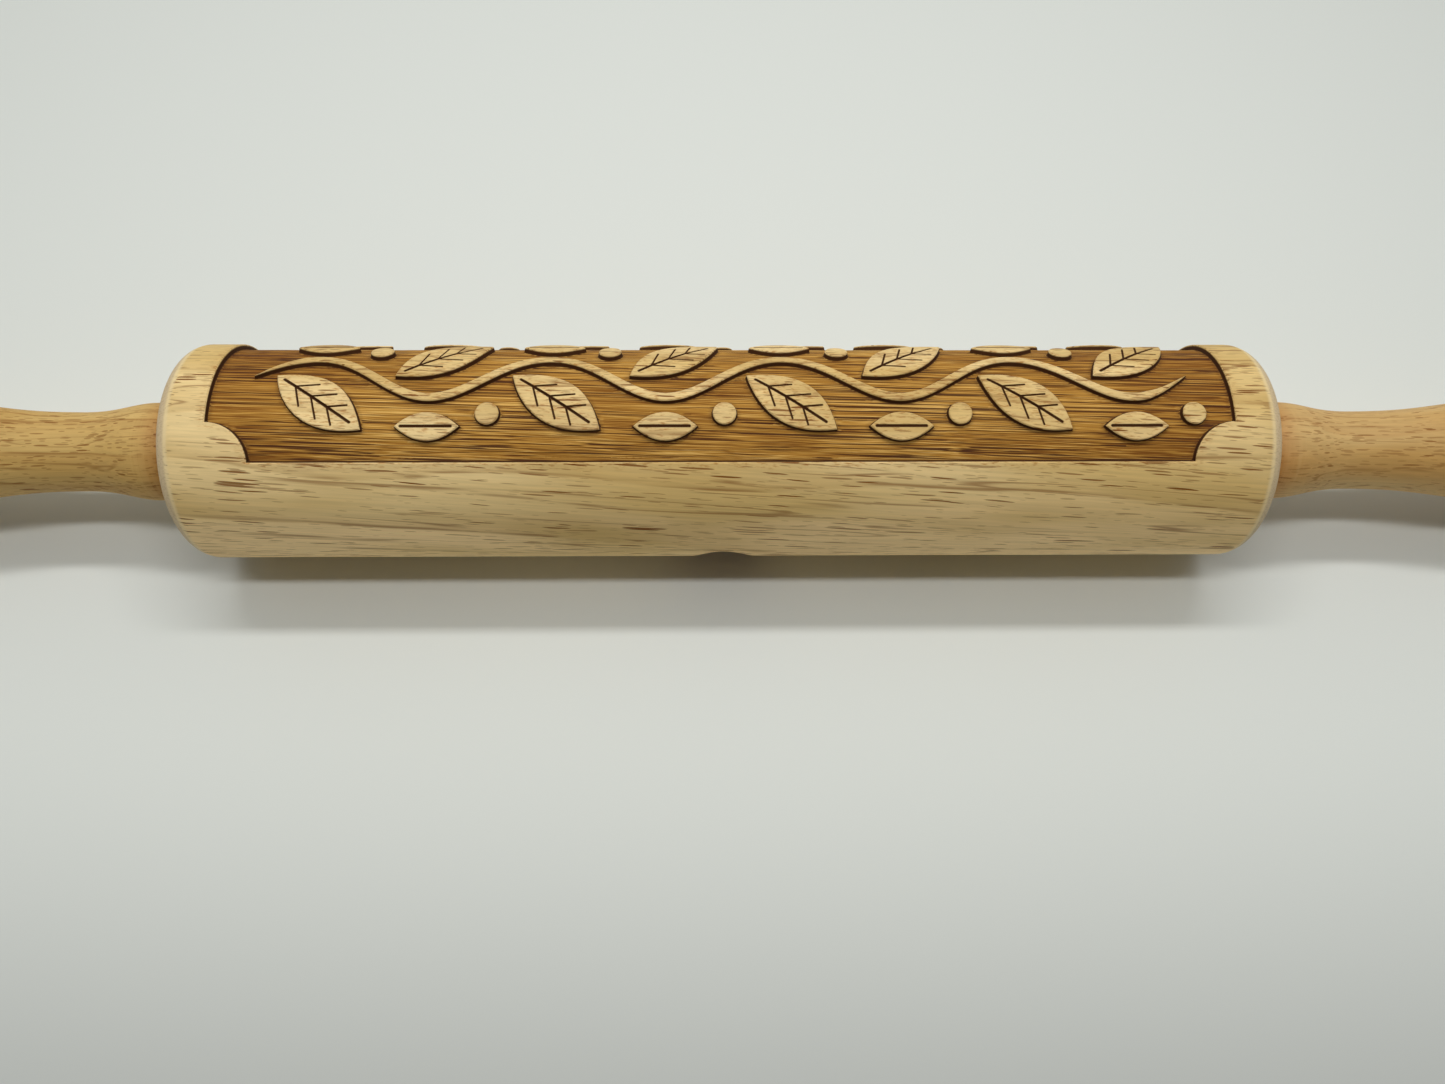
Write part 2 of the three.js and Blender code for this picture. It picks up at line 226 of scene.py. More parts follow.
def turned(along: Array, radius: Array, angles: Array, closed: bool, **attributes: Array) -> Surface:
    """Carries a profile round the X axis.

    Row i of the grid is a ring: x = along, y = -radius sin(angle) and z = radius cos(angle). along and radius
    may change round the ring as well, which makes threads and hexagons. A row of no radius becomes a pole.

    Args:
        along: Places along X, with a row for each ring.
        radius: Radii, with a row for each ring.
        angles: Angles round the axle.
        closed: Whether the last ring meets the first.
        attributes: Values for each ring.

    Returns:
        The surface, still unmerged.
    """
    x, r, angle = np.broadcast_arrays(along, radius, angles)
    points = np.stack([x, -r * np.sin(angle), r * np.cos(angle)], axis=-1).reshape(-1, 3)
    values = {key: np.broadcast_to(ring, x.shape).ravel() for key, ring in attributes.items()}
    return Surface(points, grid_faces(*x.shape, closed), values)


def lathe(profile: Array, steps: int, closed: bool, **attributes: Array) -> Surface:
    """Turns a profile of (x, radius) points, with values for each of them, about the X axis."""
    rings = {key: values[:, None] for key, values in attributes.items()}
    return turned(profile[:, :1], profile[:, 1:], full_turn(steps), closed, **rings)


def full_turn(steps: int) -> Array:
    """Gives evenly spaced angles round the axle."""
    return np.linspace(0, 2 * np.pi, steps, endpoint=False)


def cubic(start: Place, leave: Place, reach: Place, stop: Place, steps: int) -> Array:
    """Follows a cubic curve from start to stop, drawn by its two control points.

    Args:
        start: First point.
        leave: Control point next to the first.
        reach: Control point next to the last.
        stop: Last point.
        steps: Points on the curve, of which the last is left to what follows.

    Returns:
        The points of the curve.
    """
    t = np.linspace(0, 1, steps, endpoint=False)[:, None]
    ends = (1 - t) ** 3 * np.array(start) + t**3 * np.array(stop)
    return ends + 3 * t * (1 - t) ** 2 * np.array(leave) + 3 * t**2 * (1 - t) * np.array(reach)


def eased(corners: Array, ease: float) -> Array:
    """Breaks the corners of a closed profile.

    Each corner becomes three points of the quadratic curve that leaves one edge at the distance ease before
    the corner and meets the next at the same distance after it.

    Args:
        corners: The profile's corners.
        ease: How far a break reaches along its edges.

    Returns:
        The profile with its corners broken.
    """
    to_next = np.roll(corners, -1, axis=0) - corners
    to_last = np.roll(corners, 1, axis=0) - corners
    after = corners + ease * to_next / np.linalg.norm(to_next, axis=1, keepdims=True)
    before = corners + ease * to_last / np.linalg.norm(to_last, axis=1, keepdims=True)
    middle = (before + 2 * corners + after) / 4
    return np.stack([before, middle, after], axis=1).reshape(-1, 2)


def smooth_step(values: Array, low: float, high: float) -> Array:
    """Rises from 0 at low to 1 at high by 3t^2 - 2t^3."""
    t = np.clip((values - low) / (high - low), 0, 1)
    return t * t * (3 - 2 * t)


def combed(points: Array, along: float, across: float, seed: int) -> Array:
    """Gives smooth random values from 0 to 1, drawn out along u like grain.

    Random numbers sit on a lattice with the given spacings, and between its nodes they are blended by
    3t^2 - 2t^3 in both directions.

    Args:
        points: Places in (u, v).
        along: Spacing of the lattice along u.
        across: Spacing of the lattice along v.
        seed: Which set of random numbers is used.

    Returns:
        A value for each point.
    """
    cells = (points - points.min(axis=0)) / (along, across)
    corner = cells.astype(int)
    lattice = np.random.default_rng(seed).random(corner.max(axis=0) + 2)
    t = smooth_step(cells - corner, 0, 1)
    i, j = corner.T
    near = lattice[i, j] * (1 - t[:, 0]) + lattice[i + 1, j] * t[:, 0]
    far = lattice[i, j + 1] * (1 - t[:, 0]) + lattice[i + 1, j + 1] * t[:, 0]
    return near * (1 - t[:, 1]) + far * t[:, 1]


# Shader nodes

MIDDLE_TONE = 0.5  # of cloudy values


def linear(colour: Colour) -> tuple[float, float, float, float]:
    """Turns a screen colour into the linear colour that a shader takes.

    Args:
        colour: Red, green and blue, from 0 to 255.

    Returns:
        The linear colour with an alpha of 1.
    """
    share = np.array(colour) / 255
    light = np.where(share <= 0.04045, share / 12.92, ((share + 0.055) / 1.055) ** 2.4)
    return (*light.tolist(), 1.0)


@dataclass(frozen=True)
class Clouds:
    """Cloudy values: how many clouds a millimetre holds along X and across it, and how fine they are.

    What they bring comes in between the two values of span.
    """

    along: float
    across: float
    detail: float = 2.0
    roughness: float = 0.5
    span: tuple[float, float] = (0.0, 1.0)


class Graph:
    """Adds nodes to a node tree. A value given for an input is set on it, and a socket is linked to it."""

    def __init__(self, tree: NodeTree) -> None:
        """Takes the tree that the nodes go into."""
        self.tree = tree

    def add(self, kind: str, inputs: dict[Any, Any] | None = None, **settings: Any) -> Node:
        """Adds a node.

        Args:
            kind: The node's type, without the word ShaderNode.
            inputs: Values or sockets for its inputs, by name or number.
            settings: Values for its properties.

        Returns:
            The node.
        """
        node = self.tree.nodes.new("ShaderNode" + kind)
        for key, value in settings.items():
            setattr(node, key, value)
        self.feed(node, inputs or {})
        return node

    def feed(self, node: Node, inputs: dict[Any, Any]) -> None:
        """Sets or links inputs of a node.

        Args:
            node: The node.
            inputs: Values or sockets for its inputs, by name or number.
        """
        for key, value in inputs.items():
            if isinstance(value, Socket):
                self.tree.links.new(value, node.inputs[key])
            else:
                node.inputs[key].default_value = value

    def group(self, tree: NodeTree, **values: Any) -> bpy.types.NodeOutputs:
        """Places a shared group with its own values, and gives its outputs."""
        inputs = {key.capitalize(): value for key, value in values.items()}
        return self.add("Group", inputs, node_tree=tree).outputs

    def math(self, operation: str, *values: Any) -> Socket:
        """Works out one number from others."""
        return self.add("Math", dict(enumerate(values)), operation=operation).outputs[0]

    def vectors(self, operation: str, *values: Any) -> Socket:
        """Works out one vector from others."""
        return self.add("VectorMath", dict(enumerate(values)), operation=operation).outputs["Vector"]

    def length(self, vector: Socket) -> Socket:
        """Gives the length of a vector."""
        return self.add("VectorMath", {0: vector}, operation="LENGTH").outputs["Value"]

    def axis(self, vector: Socket, name: str) -> Socket:
        """Gives one coordinate of a place."""
        return self.add("SeparateXYZ", {0: vector}).outputs[name]

    def span(self, value: Socket, low: float, high: float, first: float = 0.0, last: float = 1.0) -> Socket:
        """Eases from first to last as a value goes from low to high."""
        inputs = {"Value": value, "From Min": low, "From Max": high, "To Min": first, "To Max": last}
        return self.add("MapRange", inputs, interpolation_type="SMOOTHSTEP").outputs[0]

    def mix(self, factor: Any, first: Any, second: Any, blend: str = "MIX") -> Socket:
        """Mixes two colours, which are the node's inputs 6 and 7 and its output 2."""
        inputs = {0: factor, 6: first, 7: second}
        return self.add("Mix", inputs, data_type="RGBA", blend_type=blend).outputs[2]

    def blend(self, factor: Socket, first: Any, second: Any) -> Socket:
        """Mixes two numbers, which are the node's inputs 2 and 3 and its output 0."""
        return self.add("Mix", {0: factor, 2: first, 3: second}).outputs[0]

    def placed(self, vector: Any, **values: Any) -> Socket:
        """Scales, turns and then moves a pattern's coordinates."""
        inputs = {key.capitalize(): value for key, value in values.items()}
        return self.add("Mapping", {"Vector": vector, **inputs}).outputs[0]

    def noise(self, vector: Socket, clouds: Clouds) -> Socket:
        """Gives cloudy values of about 0.2 to 0.8.

        Args:
            vector: A place in millimetres.
            clouds: The clouds' sizes.

        Returns:
            The value at that place.
        """
        scaled = self.placed(vector, scale=(clouds.along, clouds.across, clouds.across))
        inputs = {"Vector": scaled, "Scale": 1.0, "Detail": clouds.detail, "Roughness": clouds.roughness}
        return self.add("TexNoise", inputs).outputs["Fac"]

    def cloudy(self, vector: Socket, clouds: Clouds, first: float = 0.0, last: float = 1.0) -> Socket:
        """Eases from first to last as cloudy values go through their span."""
        return self.span(self.noise(vector, clouds), *clouds.span, first, last)

    def attribute(self, name: str) -> Socket:
        """Reads one of the piece's own values."""
        return self.add("Attribute", attribute_name=name).outputs["Fac"]

    def object_millimetres(self) -> Socket:
        """Gives the place on the piece in millimetres."""
        place = self.add("TexCoord").outputs["Object"]
        return self.placed(place, scale=(1 / MM, 1 / MM, 1 / MM))


@dataclass
class SharedGroups:
    """The effects that several finishes use, each built once as a node group.

    Clouds are drawn out along the grain, or round X where a tool turned the piece, and depths are in
    millimetres. ring_rise is the power by which a ring darkens, ring_rim the shares of a ring between which
    its dark rim comes in, and vessel_edge the shares of a cell between which a vessel does.
    """

    ring_bend: Clouds = Clouds(0.012, 0.05, 1.0)
    ring_bend_depth: float = 9.0
    ring_ragged: Clouds = Clouds(0.03, 0.6)
    ring_ragged_depth: float = 1.2
    ring_rise: float = 2.2
    ring_rim: tuple[float, float] = (0.88, 0.95)
    thread_drift: Clouds = Clouds(0.009, 0.3, 1.0)
    thread_width: float = 0.03
    line_breaks: Clouds = Clouds(0.025, 0.4, span=(0.45, 0.62))
    streak: Clouds = Clouds(0.035, 1.5, 3.0, 0.6)
    mottle: Clouds = Clouds(0.012, 0.06)
    vessel_sway: Clouds = Clouds(0.05, 0.2, 1.0)
    vessel_rows: Clouds = Clouds(0.02, 0.6, span=(0.35, 0.65))
    vessel_row_swell: tuple[float, float] = (0.2, 0.7)
    vessel_bands: Clouds = Clouds(0.008, 0.1, 1.0, span=(0.4, 0.6))
    vessel_band_swell: tuple[float, float] = (0.35, 0.65)
    vessel_edge: tuple[float, float] = (-0.01, 0.04)
    vessel_tones: tuple[float, float] = (0.5, 1.0)
    tool_lines: Clouds = Clouds(9.0, 0.35, 2.0, 0.6)
    tool_spots: Clouds = Clouds(2.2, 2.2, 3.0, 0.6)

    def __post_init__(self) -> None:
        """Builds the groups."""
        self.rings = self._rings()
        self.vessels = self._vessels()
        self.tooling = self._tooling()

    @staticmethod
    def _new(name: str, inputs: dict[str, str], outputs: tuple[str, ...]) -> tuple[Graph, Node, Node]:
        """Makes an empty group.

        Args:
            name: The group's name.
            inputs: Its inputs' names and kinds of socket.
            outputs: The names of its outputs, which are all numbers.

        Returns:
            A graph of the group, its input node and its output node.
        """
        tree = bpy.data.node_groups.new(name, "ShaderNodeTree")
        for label, kind in inputs.items():
            tree.interface.new_socket(name=label, in_out="INPUT", socket_type="NodeSocket" + kind)
        for label in outputs:
            tree.interface.new_socket(name=label, in_out="OUTPUT", socket_type="NodeSocketFloat")
        return Graph(tree), tree.nodes.new("NodeGroupInput"), tree.nodes.new("NodeGroupOutput")

    def _rings(self) -> NodeTree:
        """Builds the slow figure of the wood, with the grain along X and the pith at 0.

        Depth is the distance from the pith in millimetres, bent by slow noise. Divided by the spacing it
        counts the growth rings: Ring rises slowly through each one and drops at its end. Line is thin dark
        lines along the grain, at the rings' ends and where slow noise passes its middle value, broken here
        and there. Streak is fine silk along the grain, and Mottle slow clouds.

        Returns:
            The group.
        """
        inputs = {"Grain": "Vector", "Spacing": "Float"}
        graph, given, taken = self._new("Rings", inputs, ("Depth", "Ring", "Line", "Streak", "Mottle"))
        grain = given.outputs["Grain"]
        distance = graph.length(graph.placed(grain, scale=(0.0, 1.0, 1.0)))
        bend = graph.noise(grain, self.ring_bend)
        ragged = graph.noise(grain, self.ring_ragged)
        depth = graph.math("MULTIPLY_ADD", bend, self.ring_bend_depth, distance)
        depth = graph.math("MULTIPLY_ADD", ragged, self.ring_ragged_depth, depth)
        share = graph.math("FRACT", graph.math("DIVIDE", depth, given.outputs["Spacing"]))
        drop = graph.span(share, self.ring_rim[1], 1.0, 1.0, 0.0)
        rim = graph.math("MULTIPLY", graph.span(share, *self.ring_rim), drop)
        drift = graph.math("SUBTRACT", graph.noise(grain, self.thread_drift), MIDDLE_TONE)
        thread = graph.span(graph.math("ABSOLUTE", drift), 0.0, self.thread_width, 1.0, 0.0)
        breaks = graph.cloudy(grain, self.line_breaks)
        graph.feed(taken, {
            "Depth": depth,
            "Ring": graph.math("MULTIPLY", graph.math("POWER", share, self.ring_rise), drop),
            "Line": graph.math("MULTIPLY", graph.math("MAXIMUM", rim, thread), breaks),
            "Streak": graph.noise(grain, self.streak),
            "Mottle": graph.noise(grain, self.mottle),
        })
        return graph.tree

    def _vessels(self) -> NodeTree:
        """Builds the open vessels of the wood, with the grain along X.

        They are cells drawn out along the grain, and Mark is 1 where a cell's middle is closer than a limit.
        The limit swells and shrinks in rows along the grain and in slow bands, and each vessel has a depth of
        tone of its own.

        Returns:
            The group.
        """
        inputs = {"Grain": "Vector", "Density": "Float", "Limit": "Float", "Stretch": "Float"}
        graph, given, taken = self._new("Vessels", inputs, ("Mark",))
        grain = given.outputs["Grain"]
        shrink = graph.math("DIVIDE", 1.0, given.outputs["Stretch"])
        squeeze = graph.add("CombineXYZ", {"X": shrink, "Y": 1.0, "Z": 1.0}).outputs[0]
        sway = graph.noise(grain, self.vessel_sway)
        swayed = graph.add("CombineXYZ", {"Y": sway, "Z": sway}).outputs[0]
        drawn = graph.vectors("MULTIPLY_ADD", grain, squeeze, swayed)
        cells = graph.add("TexVoronoi", {"Vector": drawn, "Scale": given.outputs["Density"]}).outputs
        rows = graph.cloudy(grain, self.vessel_rows, *self.vessel_row_swell)
        bands = graph.cloudy(grain, self.vessel_bands, *self.vessel_band_swell)
        limit = graph.math("MULTIPLY", given.outputs["Limit"], graph.math("ADD", rows, bands))
        depth = graph.math("SUBTRACT", limit, cells["Distance"])
        tone = graph.add("SeparateColor", {"Color": cells["Color"]}).outputs[0]
        tone = graph.span(tone, 0.0, 1.0, *self.vessel_tones)
        graph.feed(taken, {"Mark": graph.math("MULTIPLY", graph.span(depth, *self.vessel_edge), tone)})
        return graph.tree

    def _tooling(self) -> NodeTree:
        """Builds the fine marks of a tool or a mould: Line is fine rings round X, and Spot fine even noise.

        Returns:
            The group.
        """
        graph, given, taken = self._new("Tooling", {"Place": "Vector"}, ("Line", "Spot"))
        place = given.outputs["Place"]
        marks = {"Line": graph.noise(place, self.tool_lines), "Spot": graph.noise(place, self.tool_spots)}
        graph.feed(taken, marks)
        return graph.tree


# Finishes


@dataclass(frozen=True)
class FineRelief:
    """How a finish's height shows: the strength of its bump, and its depth in millimetres."""

    strength: float
    depth: float

    def normal(self, graph: Graph, height: Socket) -> Socket:
        """Turns a height into the normal that a shader takes."""
        inputs = {"Strength": self.strength, "Distance": self.depth * MM, "Height": height}
        return graph.add("Bump", inputs).outputs[0]


@dataclass(frozen=True)
class VesselMarks:
    """One size of open vessels: how closely they lie, how wide and how drawn out they are, and how dark."""

    density: float
    limit: float
    stretch: float
    strength: float

    def dark(self, graph: Graph, groups: SharedGroups, grain: Socket) -> Socket:
        """Lays the vessels along the grain.

        Args:
            graph: The material's graph.
            groups: The shared node groups.
            grain: The place in the wood, with the grain along X.

        Returns:
            How dark the vessels make the wood, from 0 to 1.
        """
        sizes = {"density": self.density, "limit": self.limit, "stretch": self.stretch}
        vessels = graph.group(groups.vessels, grain=grain, **sizes)
        return graph.math("MULTIPLY", vessels["Mark"], self.strength)


@dataclass(frozen=True)
class WoodFinish:
    """Rubberwood as one piece shows it: its colours, and how its grain lies in the piece.

    Its tone goes from pale to deep in slow clouds, and by drift for each millimetre along the grain. Farthest
    from the pith it turns to the sap_and_painted_light tone: paler sapwood, which on the barrel is also
    painted light that lifts its shaded lower front. There it has fewer clouds by sap_and_painted_light_clear,
    and taper brings it nearer for each millimetre along the grain. Across the grain it has fine specks. pith
    is the way from the pith to the middle of the axle.
    """

    name: str
    pale: Colour
    deep: Colour
    ring: Colour
    pore: Colour
    pith: tuple[float, float, float]
    tilt: tuple[float, float, float]
    ring_spacing: float
    sap_and_painted_light: Colour
    sap_and_painted_light_depth: float
    long_vessels: VesselMarks
    short_vessels: VesselMarks
    sap_and_painted_light_blend: float = 10.0
    sap_and_painted_light_clear: float = 0.0
    taper: float = 0.0
    drift: float = 0.0
    deep_span: tuple[float, float] = (0.35, 0.65)
    ring_strength: float = 0.35
    line_strength: float = 0.55
    silk_span: tuple[float, float] = (0.3, 0.7)
    silk: tuple[float, float] = (0.9, 1.04)
    silk_height: float = 0.3
    specks: Clouds = Clouds(0.4, 2.8, 3.0, 0.7, (0.3, 0.56))
    speck_strength: float = 0.4
    roughness: float = 0.58
    specular: float = 0.25

    def grain(self, graph: Graph) -> Socket:
        """Gives the place on the piece, turned and moved so that the grain runs along X from the pith."""
        tilt = tuple(math.radians(angle) for angle in self.tilt)
        return graph.placed(graph.object_millimetres(), rotation=tilt, location=self.pith)

    def figure(self, graph: Graph, groups: SharedGroups) -> tuple[Socket, Socket]:
        """Lays the grain out on the piece.

        Args:
            graph: The material's graph.
            groups: The shared node groups.

        Returns:
            The wood's colour and the height of its grain.
        """
        grain = self.grain(graph)
        slow = graph.group(groups.rings, grain=grain, spacing=self.ring_spacing)
        along = graph.axis(grain, "X")
        depth = graph.math("MULTIPLY_ADD", along, self.taper, slow["Depth"])
        # Paler sapwood far from the pith; on the barrel this band is also painted light that lifts the shaded
        # lower front
        sap_and_painted_light = graph.span(depth, self.sap_and_painted_light_depth, self.sap_and_painted_light_depth + self.sap_and_painted_light_blend)
        colour = graph.mix(sap_and_painted_light, linear(self.pale), linear(self.sap_and_painted_light))
        level = graph.math("MULTIPLY_ADD", along, self.drift, slow["Mottle"])
        level = graph.math("MULTIPLY_ADD", sap_and_painted_light, -self.sap_and_painted_light_clear, level)
        colour = graph.mix(graph.span(level, *self.deep_span), colour, linear(self.deep))
        ringed = graph.math("MULTIPLY", slow["Ring"], self.ring_strength)
        colour = graph.mix(ringed, colour, linear(self.ring))
        silk = graph.span(slow["Streak"], *self.silk_span, *self.silk)
        tone = graph.add("CombineColor", {"Red": silk, "Green": silk, "Blue": silk}).outputs[0]
        colour = graph.mix(1.0, colour, tone, "MULTIPLY")
        dark = graph.math("MULTIPLY", slow["Line"], self.line_strength)
        for marks in (self.long_vessels, self.short_vessels):
            dark = graph.math("MAXIMUM", dark, marks.dark(graph, groups, grain))
        colour = graph.mix(dark, colour, linear(self.pore))
        sunk = graph.math("MULTIPLY", dark, -1.0)
        return colour, graph.math("MULTIPLY_ADD", slow["Streak"], self.silk_height, sunk)

    def end_grain(self, graph: Graph, colour: Socket, share: Socket, tone: Colour) -> Socket:
        """Covers a share of the wood's colour with end grain, a tone with fine specks."""
        specks = graph.cloudy(self.grain(graph), self.specks, self.speck_strength, 0.0)
        return graph.mix(share, colour, graph.mix(specks, linear(tone), linear(self.pore)))


def new_material(name: str) -> tuple[Material, Graph, Node]:
    """Makes a material with only a Principled shader.

    Args:
        name: The material's name.

    Returns:
        The material, its graph and its shader.
    """
    material = bpy.data.materials.new(name)
    material.use_nodes = True
    shader = material.node_tree.nodes["Principled BSDF"]
    return material, Graph(material.node_tree), shader


@dataclass(frozen=True)
class TurnedWood:
    """A turned and sanded wooden piece that carries no engraving.

    A pale burnished band with faint turning rings goes round the collar, and the wood is amber next to the
    barrel. Their places are distances in millimetres from the handle's face.
    """

    wood: WoodFinish
    end_tone: Colour
    near_barrel: Colour
    end_share: float = 0.6
    turning: Clouds = Clouds(1.6, 0.03, span=(0.4, 0.65))
    band_start: tuple[float, float] = (2.5, 5.0)
    band_stop: tuple[float, float] = (7.0, 11.0)
    burnish: float = 0.35
    amber_reach: tuple[float, float] = (0.5, 10.0)
    amber: float = 0.7
    open_height: tuple[float, float] = (-0.5, 0.2)
    open_roughness: float = 0.15
    relief: FineRelief = FineRelief(0.35, 0.08)

    def material(self, groups: SharedGroups) -> Material:
        """Builds the finish.

        The attribute end is how far the surface faces along X, where end grain shows, and inward is the
        distance in millimetres from the handle's face. Open vessels are rougher than the rest.

        Args:
            groups: The shared node groups.

        Returns:
            The material.
        """
        material, graph, shader = new_material(self.wood.name)
        colour, height = self.wood.figure(graph, groups)
        inward = graph.attribute("inward")
        end = graph.math("MULTIPLY", graph.attribute("end"), self.end_share)
        colour = self.wood.end_grain(graph, colour, end, self.end_tone)
        stop = graph.span(inward, *self.band_stop, 1.0, 0.0)
        band = graph.math("MULTIPLY", graph.span(inward, *self.band_start), stop)
        rings = graph.cloudy(graph.object_millimetres(), self.turning, 0.0, self.burnish)
        burnish = graph.math("MULTIPLY", band, rings)
        colour = graph.mix(burnish, colour, linear(self.wood.pale))
        amber = graph.span(inward, *self.amber_reach, self.amber, 0.0)
        colour = graph.mix(amber, colour, linear(self.near_barrel), "MULTIPLY")
        sanded = self.wood.roughness
        graph.feed(shader, {
            "Base Color": colour,
            "Roughness": graph.span(height, *self.open_height, sanded + self.open_roughness, sanded),
            "Specular IOR Level": self.wood.specular,
            "Normal": self.relief.normal(graph, height),
        })
        return material


@dataclass(frozen=True)
class EngravedWood:
    """The barrel's finish: plain rubberwood, burnt away in the panel.

    halo_reach, foot_shade_reach, char_reach and burnt_edge are distances in millimetres from the engraving's
    edge, and dark_ends from the barrel's middle. painted_highlight_facing and end_facing are how far the
    surface faces along X, from 0 to 1. Where the surface starts to face along X, over
    painted_highlight_facing, end_rim
    is a painted highlight: a paler line along the start of the end's rounding.
    """

    wood: WoodFinish
    end_rim: Colour
    end_tone: Colour
    ground_dark: Colour
    ground: Colour
    ground_light: Colour
    ground_line: Colour
    char: Colour
    scorch: Colour
    painted_highlight_facing: tuple[float, float] = (0.1, 0.3)
    end_facing: tuple[float, float] = (0.3, 0.45)
    end_share: float = 0.7
    burn_slope: float = 2.0
    smoke: Clouds = Clouds(0.5, 2.2, 2.0, 0.65, (0.5, 0.72))
    halo_reach: tuple[float, float] = (-2.4, -0.2)
    halo: tuple[float, float] = (0.04, 0.75)
    lines: Clouds = Clouds(0.014, 3.2, 1.0, span=(0.39, 0.46))
    line_strength: float = 0.9
    fibre: Clouds = Clouds(0.05, 4.8, 2.0, 0.65)
    burn_clouds: Clouds = Clouds(0.02, 0.11)
    burn_cloud_strength: float = 0.4
    dark_span: tuple[float, float] = (0.32, 0.5)
    light_span: tuple[float, float] = (0.5, 0.68)
    groove_shade: float = 0.06
    dark_ends: tuple[float, float] = (70.0, 112.0)
    dark_end_shade: float = 0.12
    foot_shade_reach: tuple[float, float] = (0.3, 1.4)
    foot_shade: float = 0.3
    char_reach: tuple[float, float] = (0.2, 0.4)
    burnt_edge: tuple[float, float] = (-0.03, 0.05)
    burnt_roughness: float = 0.85
    burnt_height: float = 3.0
    relief: FineRelief = FineRelief(0.4, 0.1)

    def plain(self, graph: Graph, wood: Socket, grain: Socket, sunk: Socket) -> Socket:
        """Colours the wood that is left standing: a painted highlight, its end grain, and the smoke's halo
        beside the engraving.

        Args:
            graph: The material's graph.
            wood: The wood's own colour.
            grain: The place on the barrel, with the burnt lines along X.
            sunk: The distance from the engraving's edge.

        Returns:
            The colour.
        """
        end = graph.attribute("end")
        # A painted highlight: a paler cream line where the end's rounding starts, as if that edge caught the
        # light
        wood = graph.mix(graph.span(end, *self.painted_highlight_facing, 0.0, self.end_share), wood, linear(self.end_rim))
        share = graph.span(end, *self.end_facing, 0.0, self.end_share)
        wood = self.wood.end_grain(graph, wood, share, self.end_tone)
        smoke = graph.cloudy(grain, self.smoke, *self.halo)
        halo = graph.math("MULTIPLY", graph.span(sunk, *self.halo_reach), smoke)
        return graph.mix(halo, wood, linear(self.scorch), "MULTIPLY")

    def burnt(self, graph: Graph, place: Socket, grain: Socket, sunk: Socket) -> tuple[Socket, Socket]:
        """Colours the burnt ground: fibres, clouds and dark lines, with a charred wall round it.

        Args:
            graph: The material's graph.
            place: The place on the barrel.
            grain: The same place, with the burnt lines along X.
            sunk: The distance from the engraving's edge.

        Returns:
            The colour and the height of the fibres.
        """
        cloud = graph.math("SUBTRACT", graph.noise(grain, self.burn_clouds), MIDDLE_TONE)
        fibre = graph.noise(grain, self.fibre)
        level = graph.math("MULTIPLY_ADD", cloud, self.burn_cloud_strength, fibre)
        level = graph.math("MULTIPLY_ADD", graph.attribute("groove"), -self.groove_shade, level)
        from_middle = graph.math("ABSOLUTE", graph.axis(place, "X"))
        shade = graph.span(from_middle, *self.dark_ends, 0.0, self.dark_end_shade)
        level = graph.math("SUBTRACT", level, shade)
        lit = graph.span(level, *self.dark_span)
        ground = graph.mix(lit, linear(self.ground_dark), linear(self.ground))
        ground = graph.mix(graph.span(level, *self.light_span), ground, linear(self.ground_light))
        lines = graph.cloudy(grain, self.lines, self.line_strength, 0.0)
        ground = graph.mix(lines, ground, linear(self.ground_line))
        foot = graph.span(sunk, *self.foot_shade_reach, self.foot_shade, 0.0)
        ground = graph.mix(foot, ground, linear(self.ground_line))
        ground = graph.mix(graph.span(sunk, *self.char_reach, 1.0, 0.0), ground, linear(self.char))
        return ground, graph.math("MULTIPLY", level, self.burnt_height)

    def material(self, groups: SharedGroups) -> Material:
        """Builds the finish.

        The attribute sunk is the distance in millimetres from the engraving's edge, positive on the burnt
        ground. It parts the plain wood, the scorched rim beside the edge, the charred wall and the ground.
        The ground's lines keep to its surface, at a slope to the axle, and it is darker near its ends.

        Args:
            groups: The shared node groups.

        Returns:
            The material.
        """
        material, graph, shader = new_material(self.wood.name)
        wood, wood_height = self.wood.figure(graph, groups)
        sunk = graph.attribute("sunk")
        place = graph.object_millimetres()
        grain = graph.placed(place, rotation=(0.0, 0.0, math.radians(self.burn_slope)))
        ground, ground_height = self.burnt(graph, place, grain, sunk)
        burnt = graph.span(sunk, *self.burnt_edge)
        height = graph.blend(burnt, wood_height, ground_height)
        graph.feed(shader, {
            "Base Color": graph.mix(burnt, self.plain(graph, wood, grain, sunk), ground),
            "Roughness": graph.span(burnt, 0.0, 1.0, self.wood.roughness, self.burnt_roughness),
            "Specular IOR Level": self.wood.specular,
            "Normal": self.relief.normal(graph, height),
        })
        return material


class Marks(Enum):
    """The fine marks on a made surface. The value is the output of the shared group that gives them."""

    LINES = "Line"
    SPOTS = "Spot"


@dataclass(frozen=True)
class MadeFinish:
    """Steel or nylon, slightly cloudy, with the fine marks of its tool or mould in its gloss and height."""

    name: str
    colour: Colour
    cloudy: Colour
    roughness: float
    marks: Marks = Marks.LINES
    metallic: float = 1.0
    clouding: tuple[float, float] = (0.35, 0.75)
    gloss_span: tuple[float, float] = (0.3, 0.7)
    smoother: float = 0.08
    rougher: float = 0.1
    relief: FineRelief = FineRelief(0.25, 0.02)

    def material(self, groups: SharedGroups) -> Material:
        """Builds the finish.

        Args:
            groups: The shared node groups.

        Returns:
            The material.
        """
        material, graph, shader = new_material(self.name)
        tooling = graph.group(groups.tooling, place=graph.object_millimetres())
        marks = tooling[self.marks.value]
        clouds = graph.span(tooling["Spot"], *self.clouding)
        gloss = (self.roughness - self.smoother, self.roughness + self.rougher)
        graph.feed(shader, {
            "Base Color": graph.mix(clouds, linear(self.colour), linear(self.cloudy)),
            "Roughness": graph.span(marks, *self.gloss_span, *gloss),
            "Metallic": self.metallic,
            "Normal": self.relief.normal(graph, marks),
        })
        return material


